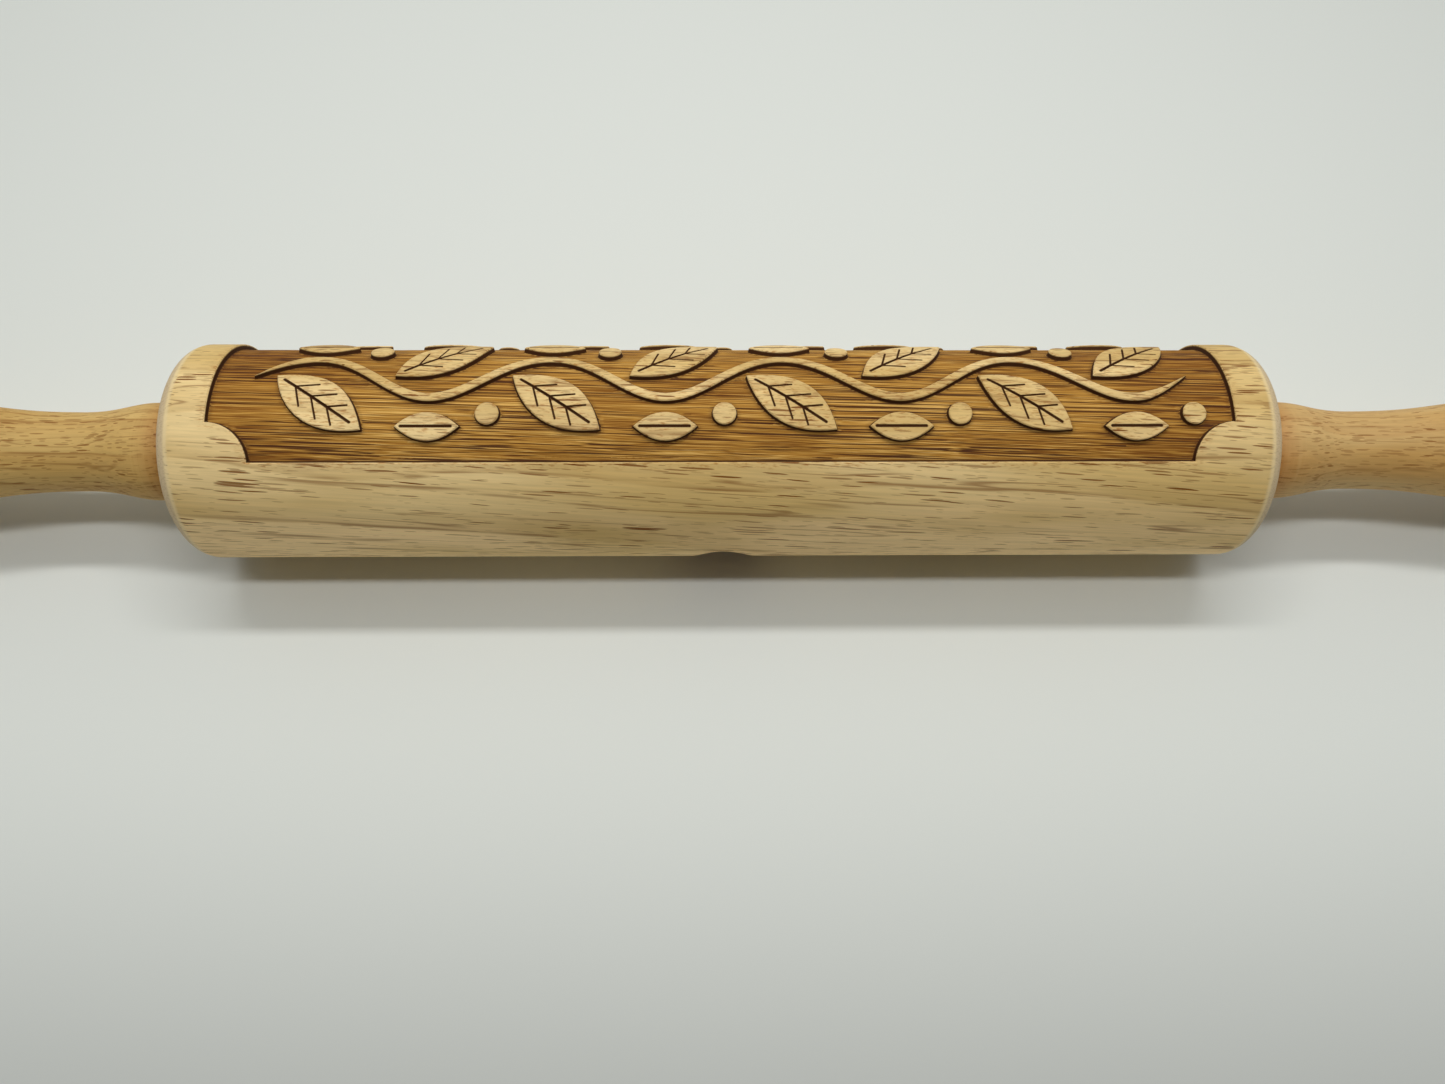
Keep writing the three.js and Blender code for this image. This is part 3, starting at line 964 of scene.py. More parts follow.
BARREL_WOOD = EngravedWood(
    wood=WoodFinish(
        name="barrel_wood",
        pale=(240, 211, 152),
        deep=(217, 184, 118),
        ring=(186, 148, 84),
        pore=(118, 66, 12),
        pith=(0.0, -66.0, -25.0),
        tilt=(0.0, -4.0, 2.0),
        ring_spacing=10.0,
        # This pale band falls on the barrel's lower front, where it is painted light as well as sapwood
        sap_and_painted_light=(255, 221, 163),
        sap_and_painted_light_depth=92.0,
        sap_and_painted_light_blend=5.0,
        sap_and_painted_light_clear=0.1,
        taper=0.052,
        long_vessels=VesselMarks(1.3, 0.25, 22.0, 0.95),
        short_vessels=VesselMarks(2.0, 0.24, 14.0, 0.55),
        drift=0.0005,
        line_strength=0.62,
        specular=0.15,
    ),
    # The end rim's colour is a painted highlight along the start of the end's rounding
    end_rim=(234, 212, 164),
    end_tone=(204, 182, 150),
    ground_dark=(126, 78, 26),
    ground=(180, 130, 54),
    ground_light=(226, 180, 100),
    ground_line=(66, 32, 18),
    char=(66, 38, 14),
    scorch=(196, 146, 80),
)
LEFT_HANDLE_WOOD = TurnedWood(
    wood=WoodFinish(
        name="left_handle_wood",
        pale=(208, 172, 104),
        deep=(197, 156, 84),
        ring=(172, 122, 56),
        pore=(126, 76, 22),
        pith=(40.0, 34.0, 9.0),
        tilt=(0.0, 0.6, -0.8),
        ring_spacing=7.0,
        sap_and_painted_light=(212, 178, 112),
        sap_and_painted_light_depth=46.0,
        long_vessels=VesselMarks(1.1, 0.24, 9.0, 0.85),
        short_vessels=VesselMarks(1.7, 0.3, 6.0, 0.55),
    ),
    end_tone=(172, 126, 70),
    near_barrel=(196, 150, 92),
)
RIGHT_HANDLE_WOOD = TurnedWood(
    wood=WoodFinish(
        name="right_handle_wood",
        pale=(208, 172, 112),
        deep=(198, 154, 88),
        ring=(184, 134, 76),
        pore=(134, 84, 32),
        pith=(-70.0, -31.0, 22.0),
        tilt=(0.0, -0.5, 1.0),
        ring_spacing=6.0,
        sap_and_painted_light=(216, 182, 124),
        sap_and_painted_light_depth=48.0,
        long_vessels=VesselMarks(1.1, 0.2, 12.0, 0.85),
        short_vessels=VesselMarks(1.8, 0.31, 8.0, 0.5),
    ),
    end_tone=(176, 132, 80),
    near_barrel=(214, 166, 110),
)
PLUG_WOOD = TurnedWood(
    wood=WoodFinish(
        name="plug_wood",
        pale=(206, 168, 106),
        deep=(194, 152, 90),
        ring=(160, 114, 60),
        pore=(112, 72, 34),
        pith=(0.0, 3.5, 2.0),
        tilt=(0.0, 0.0, 0.0),
        ring_spacing=1.6,
        sap_and_painted_light=(210, 174, 114),
        sap_and_painted_light_depth=8.0,
        long_vessels=VesselMarks(1.4, 0.25, 12.0, 0.8),
        short_vessels=VesselMarks(1.9, 0.3, 8.0, 0.5),
    ),
    end_tone=(164, 120, 70),
    near_barrel=(255, 255, 255),
)
BUSH_NYLON = MadeFinish(
    name="bush_nylon",
    colour=(230, 226, 214),
    cloudy=(218, 213, 198),
    roughness=0.45,
    marks=Marks.SPOTS,
    metallic=0.0,
    clouding=(0.3, 0.7),
    smoother=0.05,
    rougher=0.08,
    relief=FineRelief(0.2, 0.03),
)
AXLE_STEEL = MadeFinish("axle_steel", (186, 188, 190), (170, 170, 168), 0.3)
WASHER_STEEL = MadeFinish("washer_steel", (180, 182, 184), (158, 158, 154), 0.36)
NUT_STEEL = MadeFinish("nut_steel", (184, 184, 178), (164, 162, 150), 0.33)


# The engraving


def on_circle(middle: Place, radius: float, turn: Array) -> Array:
    """Gives the points of a circle on the flat layout at angles that go from u towards v."""
    return np.array(middle) + radius * np.stack([np.cos(turn), np.sin(turn)], axis=-1)


def circle(middle: Place, radius: float, spacing: float) -> Array:
    """Follows a circle on the flat layout, with points about a spacing apart."""
    return on_circle(middle, radius, full_turn(round(2 * np.pi * radius / spacing)))


@dataclass(frozen=True)
class Leaf:
    """A pointed leaf on the flat layout, from its base to its tip."""

    base: tuple[float, float]
    angle: float
    length: float
    width: float
    side_veins: int

    def on_leaf(self, along: Array, across: Array) -> Array:
        """Places points on the flat layout.

        Args:
            along: Their distances from the leaf's base along its middle.
            across: Their distances from its middle.

        Returns:
            The places in (u, v).
        """
        turn = complex(math.cos(self.angle), math.sin(self.angle))
        place = complex(*self.base) + turn * (along + 1j * across)
        return np.stack([place.real, place.imag], axis=-1)

    def half_width(self, share: Array) -> Array:
        """Gives half the width at a share of the length: 2t(1 - t) times the full width."""
        return 2 * share * (1 - share) * self.width

    def edge(self, spacing: float) -> Array:
        """Follows the edge once round, out along one side and back along the other.

        Args:
            spacing: Distance between the points.

        Returns:
            The points once round.
        """
        share = np.linspace(0, 1, round(self.length / spacing), endpoint=False)
        out = self.on_leaf(share * self.length, -self.half_width(share))
        back = self.on_leaf((1 - share) * self.length, self.half_width(1 - share))
        return np.concatenate([out, back])

    def veins(self, cut: "VeinCut") -> list["Vein"]:
        """Lays the midrib and its side veins.

        The midrib runs along the leaf's middle. A side vein leaves it at the cut's angle and stops short of
        the edge.

        Args:
            cut: The sizes of the veins.

        Returns:
            The veins.
        """
        start, stop = cut.midrib_span
        ends = np.array([start, stop]) * self.length
        veins = [Vein(self.on_leaf(ends, np.zeros(2)), cut.midrib_half_width, cut.midrib_depth)]
        for share in np.linspace(*cut.side_vein_span, self.side_veins):
            reach = cut.side_vein_reach * self.half_width(share + cut.side_vein_lead)
            along = share * self.length + np.array([0, reach / math.tan(cut.side_vein_angle)])
            for side in (-1, 1):
                path = self.on_leaf(along, side * np.array([0, reach]))
                veins.append(Vein(path, cut.side_vein_half_width, cut.side_vein_depth))
        return veins


@dataclass(frozen=True)
class VeinCut:
    """Sizes of the veins that are cut into the standing leaves."""

    midrib_span: tuple[float, float] = (0.1, 0.88)
    midrib_half_width: float = 0.36
    midrib_depth: float = 0.5
    side_vein_span: tuple[float, float] = (0.24, 0.62)
    side_vein_angle: float = math.radians(40)
    side_vein_reach: float = 0.66
    side_vein_lead: float = 0.12
    side_vein_half_width: float = 0.25
    side_vein_depth: float = 0.35


@dataclass(frozen=True)
class Vein:
    """A straight groove with round ends: its two ends, half its width and its depth."""

    path: Array
    half_width: float
    depth: float

    def edge(self, steps: int) -> Array:
        """Follows the groove's edge: half a circle round each end of the path.

        Args:
            steps: Points round each end.

        Returns:
            The points once round.
        """
        first, last = self.path
        along = last - first
        bow = np.linspace(-np.pi / 2, np.pi / 2, steps) + math.atan2(along[1], along[0])
        ends = ((last, self.half_width), (first, -self.half_width))
        return np.concatenate([on_circle(end, radius, bow) for end, radius in ends])


@dataclass(frozen=True)
class Vine:
    """The sunk panel and the leaf vine that is left standing in it, laid out flat.

    u runs along the barrel from its middle, and v round it from the panel's front edge.
    """

    length: float
    corner_scoop: float = 9.0
    rows: int = 2
    row_pitch: float = 37.0
    row_margin: float = 21.0
    end_margin: float = 9.0
    waves: int = 4
    swing: float = 6.0
    stem_width: float = 2.0
    stem_taper: float = 10.0
    leaf_length: float = 24.0
    leaf_width: float = 11.0
    leaf_tilt: float = math.radians(35)
    leaf_backset: float = 8.0
    leaf_veins: int = 3
    side_leaf_length: float = 14.0
    side_leaf_width: float = 6.5
    side_leaf_offset: float = 13.0
    berry_radius: float = 2.6
    berry_offset: float = 10.0

    @property
    def height(self) -> float:
        """The panel's size round the barrel."""
        return 2 * self.row_margin + (self.rows - 1) * self.row_pitch

    @property
    def half_run(self) -> float:
        """Half the length of a stem."""
        return self.length / 2 - self.end_margin

    @property
    def wave(self) -> float:
        """The length of one wave of a stem."""
        return 2 * self.half_run / self.waves

    @property
    def row_places(self) -> list[float]:
        """The middle of each row, along v."""
        return [self.row_margin + row * self.row_pitch for row in range(self.rows)]

    def crests(self) -> list[tuple[float, int]]:
        """Gives each half wave's middle along u, and the side of the stem that it bulges to."""
        turns = range(2 * self.waves)
        return [((turn + 0.5) * self.wave / 2 - self.half_run, 1 - 2 * (turn % 2)) for turn in turns]

    def leaves(self) -> list[Leaf]:
        """Places a large leaf in each hollow of a stem and a small one over each bulge.

        Returns:
            The leaves.
        """
        leaves = []
        large = (self.leaf_length, self.leaf_width, self.leaf_veins)
        for row in self.row_places:
            for crest, side in self.crests():
                base = (crest - self.leaf_backset, row)
                leaves.append(Leaf(base, -side * self.leaf_tilt, *large))
                base = (crest - self.side_leaf_length / 2, row + side * self.side_leaf_offset)
                leaves.append(Leaf(base, 0.0, self.side_leaf_length, self.side_leaf_width, 0))
        return leaves

    def berries(self) -> Array:
        """Places a berry at each turn of a stem.

        Returns:
            The middles of the berries.
        """
        return np.array([
            (crest + self.wave / 4, row + side * self.berry_offset)
            for row in self.row_places
            for crest, side in self.crests()
        ])

    def stem_edge(self, row: float, spacing: float) -> Array:
        """Follows a stem's edge.

        The stem's middle is row + swing sin(2 pi run / wave). Its half width, measured along v, is half the
        stem's width times sqrt(1 + slope^2), and it tapers to nothing at both ends.

        Args:
            row: The middle of the row along v.
            spacing: Distance between the points.

        Returns:
            The points once round.
        """
        run = np.linspace(0, 2 * self.half_run, round(2 * self.half_run / spacing))
        phase = 2 * np.pi * run / self.wave
        slope = 2 * np.pi * self.swing / self.wave * np.cos(phase)
        taper = np.minimum(1, np.minimum(run, run[::-1]) / self.stem_taper)
        half = self.stem_width / 2 * taper * np.sqrt(1 + slope**2)
        middle = row + self.swing * np.sin(phase)
        lower = np.stack([run - self.half_run, middle - half], axis=-1)
        upper = np.stack([run - self.half_run, middle + half], axis=-1)
        return np.concatenate([lower, upper[-2:0:-1]])

    def panel_edge(self, spacing: float) -> Array:
        """Follows the panel's edge: four straight sides, and a scoop round each corner point.

        Args:
            spacing: Distance between the points.

        Returns:
            The points once round.
        """
        half, scoop, height = self.length / 2, self.corner_scoop, self.height
        quarter = np.pi / 2
        right = [(half, 0.0, 2 * quarter), (half, height, 3 * quarter)]
        corners = [*right, (-half, height, 0.0), (-half, 0.0, quarter)]
        arc_steps = round(quarter * scoop / spacing)
        stretches = []
        for (u, v, start), (next_u, next_v, _) in zip(corners, corners[1:] + corners[:1]):
            turn = start - np.linspace(0, quarter, arc_steps)
            arc = on_circle((u, v), scoop, turn)
            side = np.array([next_u - u, next_v - v])
            length = np.abs(side).sum() - 2 * scoop
            share = np.linspace(0, 1, round(length / spacing))[1:-1, None]
            stretches += [arc, arc[-1] + share * length * np.sign(side)]
        return np.concatenate(stretches)

    def into_panel(self, points: Array) -> Array:
        """Gives the distance into the panel: the least of those from its sides and its corner scoops.

        Args:
            points: Places in (u, v).

        Returns:
            A distance for each point, negative outside the panel.
        """
        half, height = self.length / 2, self.height
        u, v = np.abs(points[:, 0]), points[:, 1]
        sides = np.minimum(half - u, np.minimum(v, height - v))
        scoops = np.minimum(np.hypot(u - half, v), np.hypot(u - half, v - height)) - self.corner_scoop
        return np.minimum(sides, scoops)


@dataclass(frozen=True)
class Medallion:
    """A sunk oval under the barrel, with a small flower left standing in it.

    Its front end dips the barrel's lower edge, as the cook sees it.
    """

    front: float
    half_length: float = 9.9
    half_height: float = 21.0
    petals: int = 5
    petal_length: float = 5.0
    petal_width: float = 3.4
    petal_from_middle: float = 2.7
    heart_radius: float = 0.9

    @property
    def middle(self) -> float:
        """The oval's middle along v."""
        return self.front - self.half_height

    def flower(self, spacing: float) -> list[Array]:
        """Follows the edges of the flower: a round heart, and petals set evenly round it, one to the back.

        Args:
            spacing: Distance between the points.

        Returns:
            The edges.
        """
        heart = np.array([0.0, self.middle])
        edges = [circle(heart, self.heart_radius, spacing)]
        for turn in full_turn(self.petals) - np.pi / 2:
            base = tuple(on_circle(heart, self.petal_from_middle, turn))
            edges.append(Leaf(base, turn, self.petal_length, self.petal_width, 0).edge(spacing))
        return edges

    def edge(self, spacing: float) -> Array:
        """Follows the oval, with its inside on the left.

        Args:
            spacing: Distance between the points.

        Returns:
            The points once round.
        """
        turn = full_turn(round(np.pi * (self.half_length + self.half_height) / spacing))
        along, round_barrel = self.half_length * np.cos(turn), self.half_height * np.sin(turn)
        return np.stack([along, self.middle + round_barrel], axis=-1)


def distance_to_path(points: Array, path: Array, closed: bool) -> Array:
    """Gives the least distance from each point to a path.

    Each point is dropped on every stretch of the path, and its foot is kept between the stretch's ends.

    Args:
        points: Places in (u, v).
        path: The path's points.
        closed: Whether the path's last point joins its first.

    Returns:
        A distance for each point.
    """
    start = path if closed else path[:-1]
    step = (np.roll(path, -1, axis=0) - path)[: len(start)]
    offset = points[:, None] - start
    share = np.clip((offset * step).sum(axis=-1) / (step**2).sum(axis=-1), 0, 1)
    return np.linalg.norm(offset - share[..., None] * step, axis=-1).min(axis=1)


def inside(points: Array, path: Array) -> Array:
    """Says which points a closed path goes round: a ray along u from one crosses it an odd count of times.

    Args:
        points: Places in (u, v).
        path: The path's points.

    Returns:
        Whether each point is inside.
    """
    u, v = points[:, :1], points[:, 1:]
    (u0, v0), (u1, v1) = path.T, np.roll(path, -1, axis=0).T
    spans = (v0 > v) != (v1 > v)
    rise = np.where(v1 == v0, 1.0, v1 - v0)
    return (spans & (u < u0 + (v - v0) * (u1 - u0) / rise)).sum(axis=1) % 2 == 1


def shifted(path: Array, distance: float) -> Array:
    """Moves a closed path outwards, or inwards for a negative distance.

    Each point goes along the mean of the normals of its two stretches, and further at a corner, so that the
    stretches keep the distance.

    Args:
        path: The path's points, with its inside on the left.
        distance: How far it moves.

    Returns:
        The moved path.
    """
    step = np.roll(path, -1, axis=0) - path
    normal = np.stack([step[:, 1], -step[:, 0]], axis=-1) / np.linalg.norm(step, axis=1, keepdims=True)
    mean = normal + np.roll(normal, 1, axis=0)
    mean /= np.linalg.norm(mean, axis=1, keepdims=True)
    lean = np.clip((mean * normal).sum(axis=1, keepdims=True), SHARPEST_LEAN, 1)
    return path + distance * mean / lean


@dataclass
class Engraving:
    """The barrel's round surface with the engraving cut into it.

    The surface is a height over the flat layout, which is then bent round the axle. The height depends on
    sunk, the distance from the engraving's edge, which is positive on the burnt ground.

    ring has the places along v of the points on the end rings. clear is the distance that the even nets'
    points keep from the contours, limit how far round a path distances are measured, and batch the most
    points that are measured at once.
    """

    vine: Vine
    medallion: Medallion
    radius: float
    half_length: float
    front_angle: float
    ring: Array
    cut: VeinCut = VeinCut()
    depth: float = 1.3
    bevel: float = 0.22
    wall_run: float = 0.16
    foot_run: float = 0.2
    foot_rise: float = 0.12
    groove_depth: float = 0.16
    groove_length: float = 16.0
    groove_pitch: float = 1.1
    groove_drift: float = 0.03
    groove_rise: tuple[float, float] = (0.5, 0.95)
    groove_seed: int = 11
    vein_end_steps: int = 6
    edge_spacing: float = 0.5
    ground_step: tuple[float, float] = (1.6, 0.45)
    wood_step: tuple[float, float] = (1.9, 1.0)
    clear: float = 0.22
    limit: float = 4.0
    batch: int = 2000

    def __post_init__(self) -> None:
        """Lays out the edges of the pieces of the vine, and the veins of its leaves."""
        vine, spacing = self.vine, self.edge_spacing
        leaves = vine.leaves()
        self.oval = self.medallion.edge(spacing)
        self.islands = [leaf.edge(spacing) for leaf in leaves] + self.medallion.flower(spacing)
        self.islands += [circle(middle, vine.berry_radius, spacing) for middle in vine.berries()]
        self.islands += [vine.stem_edge(row, spacing) for row in vine.row_places]
        self.veins = [vein for leaf in leaves for vein in leaf.veins(self.cut)]

    @property
    def foot(self) -> float:
        """Where the wall has run out on to the ground."""
        return self.bevel + self.wall_run + self.foot_run

    @property
    def bends(self) -> tuple[float, ...]:
        """The distances from the edge where the height changes its slope."""
        return (-self.bevel, 0.0, self.wall_run, self.foot)

    def near(self, points: Array, path: Array, margin: float) -> Array:
        """Numbers the points in a path's box, widened by a margin."""
        low, high = path.min(axis=0) - margin, path.max(axis=0) + margin
        return np.flatnonzero(((points > low) & (points < high)).all(axis=1))

    def into(self, points: Array, path: Array) -> Iterator[tuple[Array, Array]]:
        """Measures how far points lie inside a closed path.

        Args:
            points: Places in (u, v).
            path: The path.

        Yields:
            The numbers of some of the points near the path, and their distances, negative outside it.
        """
        for part in np.array_split(self.near(points, path, self.limit), 1 + len(points) // self.batch):
            away = distance_to_path(points[part], path, True)
            yield part, np.where(inside(points[part], path), away, -away)

    def relief(self, points: Array) -> tuple[Array, Array, Array]:
        """Works out the engraving at places on the layout.

        sunk is the distance into the panel or the oval, or the distance from a piece that is left standing
        where that is less. The height falls over the bevel, the wall and the foot to the ground's depth,
        where grooves follow the grain. A vein is a groove whose depth falls from its middle to its edge.

        Args:
            points: Places in (u, v).

        Returns:
            sunk, the height, and how deep the grain's grooves are, from 0 to 1.
        """
        sunk = np.clip(self.vine.into_panel(points), -self.limit, self.limit)
        for part, depth in self.into(points, self.oval):
            sunk[part] = np.maximum(sunk[part], depth)
        for path in self.islands:
            for part, depth in self.into(points, path):
                sunk[part] = np.minimum(sunk[part], -depth)
        heights = [0.0, -self.bevel, self.foot_rise - self.depth, -self.depth]
        height = np.interp(sunk, self.bends, heights)
        drift = points + np.stack([np.zeros(len(points)), self.groove_drift * points[:, 0]], axis=-1)
        comb = combed(drift, self.groove_length, self.groove_pitch, self.groove_seed)
        wall = self.bevel + self.wall_run
        clear = smooth_step(sunk, wall, wall + 2 * self.foot_run)
        groove = smooth_step(comb, *self.groove_rise) * clear
        height -= self.groove_depth * groove
        for vein in self.veins:
            part = self.near(points, vein.path, self.limit / 2)
            within = vein.half_width - distance_to_path(points[part], vein.path, False)
            height[part] = np.minimum(height[part], -vein.depth * np.clip(within / vein.half_width, 0, 1))
            sunk[part] = np.maximum(sunk[part], np.minimum(within, self.wall_run))
        return sunk, height, groove

    def contours(self) -> list[Array]:
        """Follows the places where the height changes its slope, and the veins' edges.

        Returns:
            The closed lines.
        """
        panel = self.vine.panel_edge(self.edge_spacing)
        lines = [shifted(path, -bend) for path in (panel, self.oval) for bend in self.bends]
        lines += [shifted(path, bend) for path in self.islands for bend in self.bends]
        return lines + [vein.edge(self.vein_end_steps) for vein in self.veins]

    def net(self, step: tuple[float, float]) -> Array:
        """Gives an even net of points over the layout, clear of its borders.

        Args:
            step: Distances between the points along u and v.

        Returns:
            The places in (u, v).
        """
        low, high = self.ring[0], self.ring[-1]
        u = np.arange(-self.half_length + step[0] / 2, self.half_length, step[0])
        v = np.arange(low + step[1] / 2, high, step[1])
        return np.stack(np.meshgrid(u, v), axis=-1).reshape(-1, 2)

    def border(self) -> Array:
        """Follows the layout's four sides: two end rings, and two sides that meet under the barrel.

        Returns:
            The points once round.
        """
        low, high = self.ring[0], self.ring[-1]
        u = np.linspace(-self.half_length, self.half_length, round(2 * self.half_length / self.wood_step[0]))
        front = np.stack([u[:-1], np.full(len(u) - 1, low)], axis=-1)
        right = np.stack([np.full(len(self.ring) - 1, self.half_length), self.ring[:-1]], axis=-1)
        back = np.stack([u[:0:-1], np.full(len(u) - 1, high)], axis=-1)
        left = np.stack([np.full(len(self.ring) - 1, -self.half_length), self.ring[:0:-1]], axis=-1)
        return np.concatenate([front, right, back, left])

    def surface(self) -> Surface:
        """Nets the layout with triangles that keep its contours, and bends it round the axle.

        A place (u, v) at a height goes to x = u, at the angle front_angle - v / radius round the axle and the
        distance radius + height from it.

        Returns:
            The round surface, open at its two end rings.
        """
        ground, wood = self.net(self.ground_step), self.net(self.wood_step)
        ground = ground[self.relief(ground)[0] > self.foot + self.clear]
        wood = wood[self.relief(wood)[0] < -self.bevel - self.clear]
        loops = [self.border(), *self.contours()]
        paths = [vein.path for vein in self.veins]
        edges, count = [], 0
        for loop in loops:
            index = np.arange(len(loop)) + count
            edges.append(np.stack([index, np.roll(index, -1)], axis=-1))
            count += len(loop)
        for path in paths:
            edges.append(np.array([[count, count + 1]]))
            count += len(path)
        flat = np.concatenate([*loops, *paths, ground, wood]).astype(np.float32).tolist()
        lines = np.concatenate(edges).tolist()
        places, _, faces, *_ = delaunay_2d_cdt(flat, lines, [], WHOLE_HULL, SAME_POINT)
        places = np.array(places, dtype=float)
        sunk, height, groove = self.relief(places)
        points = self.bent(places[:, 0], places[:, 1], self.radius + height)
        attributes = {"sunk": sunk, "groove": groove, "end": np.zeros(len(points))}
        return Surface(points, np.array(faces), attributes)

    def bent(self, u: Array, v: Array, radius: Array) -> Array:
        """Bends places on the layout round the axle, with its far side brought on to its near side.

        Args:
            u: Their places along the barrel.
            v: Their places round it.
            radius: Their distances from the axle.

        Returns:
            The points.
        """
        seam = np.where(v >= self.ring[-1] - SAME_POINT, self.ring[0], v)
        angle = self.front_angle - seam / self.radius
        return np.stack(np.broadcast_arrays(u, -radius * np.sin(angle), radius * np.cos(angle)), axis=-1)


# Sub-assemblies


@dataclass
class Barrel:
    """The engraved roller, with its rounded ends, its bush seats and its bore.

    The panel's front edge lies at front_angle, and the oval's front end at medallion_angle. The sides of the
    flat layout meet at seam_clear past the oval's back end.
    """

    end_margin: float = 12.0
    end_round: float = 5.0
    front_angle: float = math.radians(33.5)
    medallion_angle: float = math.radians(96.6)
    seam_clear: float = 5.3
    bore: float = 5.0
    seat_clearance: float = 0.1
    seat_gap: float = 0.2
    bush_sleeve: float = 8.1
    bush_flange_thickness: float = 2.0
    mouth_ease: float = 0.4
    ring_steps: int = 160
    round_steps: int = 12

    def __post_init__(self) -> None:
        """Takes the barrel's size, and that of the bush in its end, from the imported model."""
        self.reach = Reach.of("barrel", BARREL_FACETS)
        self.bush = Reach.of("right_bush", SHAFT_FACETS)

    def end_profile(self) -> tuple[Array, Array]:
        """Follows the right end from the barrel's side to the middle of its bore.

        A quarter circle rounds the end; then come the end face, the flange's recess, the bush's seat and the
        bore.

        Returns:
            The points as (x, radius), and how far each faces along X, from 0 to 1.
        """
        face, radius, ease = self.reach.end, self.reach.radius, self.mouth_ease
        recess = self.bush.radius + self.seat_clearance
        recess_floor = self.bush.end - self.bush_flange_thickness - self.seat_gap
        seat = self.bush_sleeve + self.seat_clearance
        seat_floor = self.bush.start - self.seat_gap
        turn = np.linspace(0, np.pi / 2, self.round_steps)
        middle = np.array([face - self.end_round, radius - self.end_round])
        arc = middle + self.end_round * np.stack([np.sin(turn), np.cos(turn)], axis=-1)
        inner = np.array([
            (face, recess + ease),
            (face - ease, recess),
            (recess_floor, recess),
            (recess_floor, seat),
            (seat_floor, seat),
            (seat_floor, self.bore),
        ])
        facing = np.concatenate([np.sin(turn), np.linspace(1.0, 0.0, len(inner))])
        return np.concatenate([arc, inner]), facing

    def build(self) -> Surface:
        """Joins the engraved side to the two ends and the bore.

        Returns:
            The closed surface.
        """
        radius = self.reach.radius
        around = 2 * np.pi * radius
        panel = Vine(length=self.reach.end - self.reach.start - 2 * self.end_margin)
        medallion = Medallion(front=(self.front_angle - self.medallion_angle) * radius)
        seam = medallion.front - 2 * medallion.half_height - self.seam_clear
        # The net's points come back in single precision, so the rings that meet it are rounded alike
        ring = np.linspace(seam, seam + around, self.ring_steps + 1).astype(np.float32).astype(float)
        half_length = self.reach.end - self.end_round
        side = Engraving(panel, medallion, radius, half_length, self.front_angle, ring)
        right, facing = self.end_profile()
        profile = np.concatenate([right, right[::-1] * (-1, 1)])
        facing = np.concatenate([facing, facing[::-1]])
        # Both ends start at the side's own radius, free of the arc's rounding
        profile[[0, -1], 1] = radius
        u, v = np.broadcast_arrays(profile[:, :1], ring[:-1])
        points = side.bent(u, v, profile[:, 1:]).reshape(-1, 3)
        faces = grid_faces(len(profile), len(ring) - 1, False)
        end = np.repeat(facing, len(ring) - 1)
        attributes = {"sunk": np.full(len(points), -side.limit), "groove": np.zeros(len(points)), "end": end}
        ends = Surface(points, faces, attributes).outwards()
        return side.surface().outwards().joined(ends).closed()

    def dress(self, groups: SharedGroups) -> None:
        """Makes the barrel's piece with its finish."""
        material = BARREL_WOOD.material(groups)
        self.build().piece("barrel_engraved", material, ROLLER, "barrel_wood", "barrel")


@dataclass(frozen=True)
class Thread:
    """A screw thread: radius less depth times a triangle wave of (x / pitch - angle / 2 pi)."""

    radius: float
    pitch: float = 1.0
    depth: float = 0.55
    steps_per_pitch: int = 10

    def at(self, along: Array, angles: Array) -> Array:
        """Gives the radius at places along and round the axle."""
        phase = (along / self.pitch - angles / (2 * np.pi)) % 1.0
        return self.radius - self.depth * np.abs(2 * phase - 1)


@dataclass
class Axle:
    """The steel rod through the barrel, with a threaded tenon at each end."""

    tenon_radius: float = 3.0
    chamfer: float = 0.8
    thread_length: float = 20.0
    thread_runout: float = 3.0
    ease: float = 0.25

    def __post_init__(self) -> None:
        """Takes the axle's size, and the place of its shoulders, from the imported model."""
        self.reach = Reach.of("axle", SHAFT_FACETS)
        self.shoulder = Reach.of("right_thrust_washer", SHAFT_FACETS).start - Barrel.seat_gap
        self.thread = Thread(self.tenon_radius)

    def half(self) -> tuple[Array, Array]:
        """Follows the right half from the rod's middle to the tenon's tip, with the thread cut near the tip.

        Returns:
            Places along X and radii, with a row for each ring.
        """
        angles, rod, tip = full_turn(SHAFT_TURN), self.reach.radius, self.reach.end
        start = tip - self.thread_length
        rows = round(self.thread_length / self.thread.pitch * self.thread.steps_per_pitch)
        along = np.linspace(start, tip, rows)[:, None]
        fade = smooth_step(along, start, start + self.thread_runout)
        cut = self.tenon_radius - fade * (self.tenon_radius - self.thread.at(along, angles))
        radius = np.minimum(cut, self.tenon_radius - self.chamfer + (tip - along))
        plain = np.array([
            (0.0, rod),
            (self.shoulder - self.ease, rod),
            (self.shoulder, rod - self.ease),
            (self.shoulder, self.tenon_radius),
        ])
        plain_radius = np.broadcast_to(plain[:, 1:], (len(plain), SHAFT_TURN))
        x = np.concatenate([plain[:, :1], along, [[tip]]])
        return x, np.concatenate([plain_radius, radius, np.zeros((1, SHAFT_TURN))])

    def dress(self, groups: SharedGroups) -> None:
        """Makes the axle's piece with its finish.

        Args:
            groups: The shared node groups.
        """
        x, radius = self.half()
        along = np.concatenate([-x[::-1], x[1:]])
        rings = np.concatenate([radius[::-1], radius[1:]])
        surface = turned(along, rings, full_turn(SHAFT_TURN), False).closed()
        surface.piece("axle_threaded", AXLE_STEEL.material(groups), AXLE_BODY, "axle_steel", "axle")


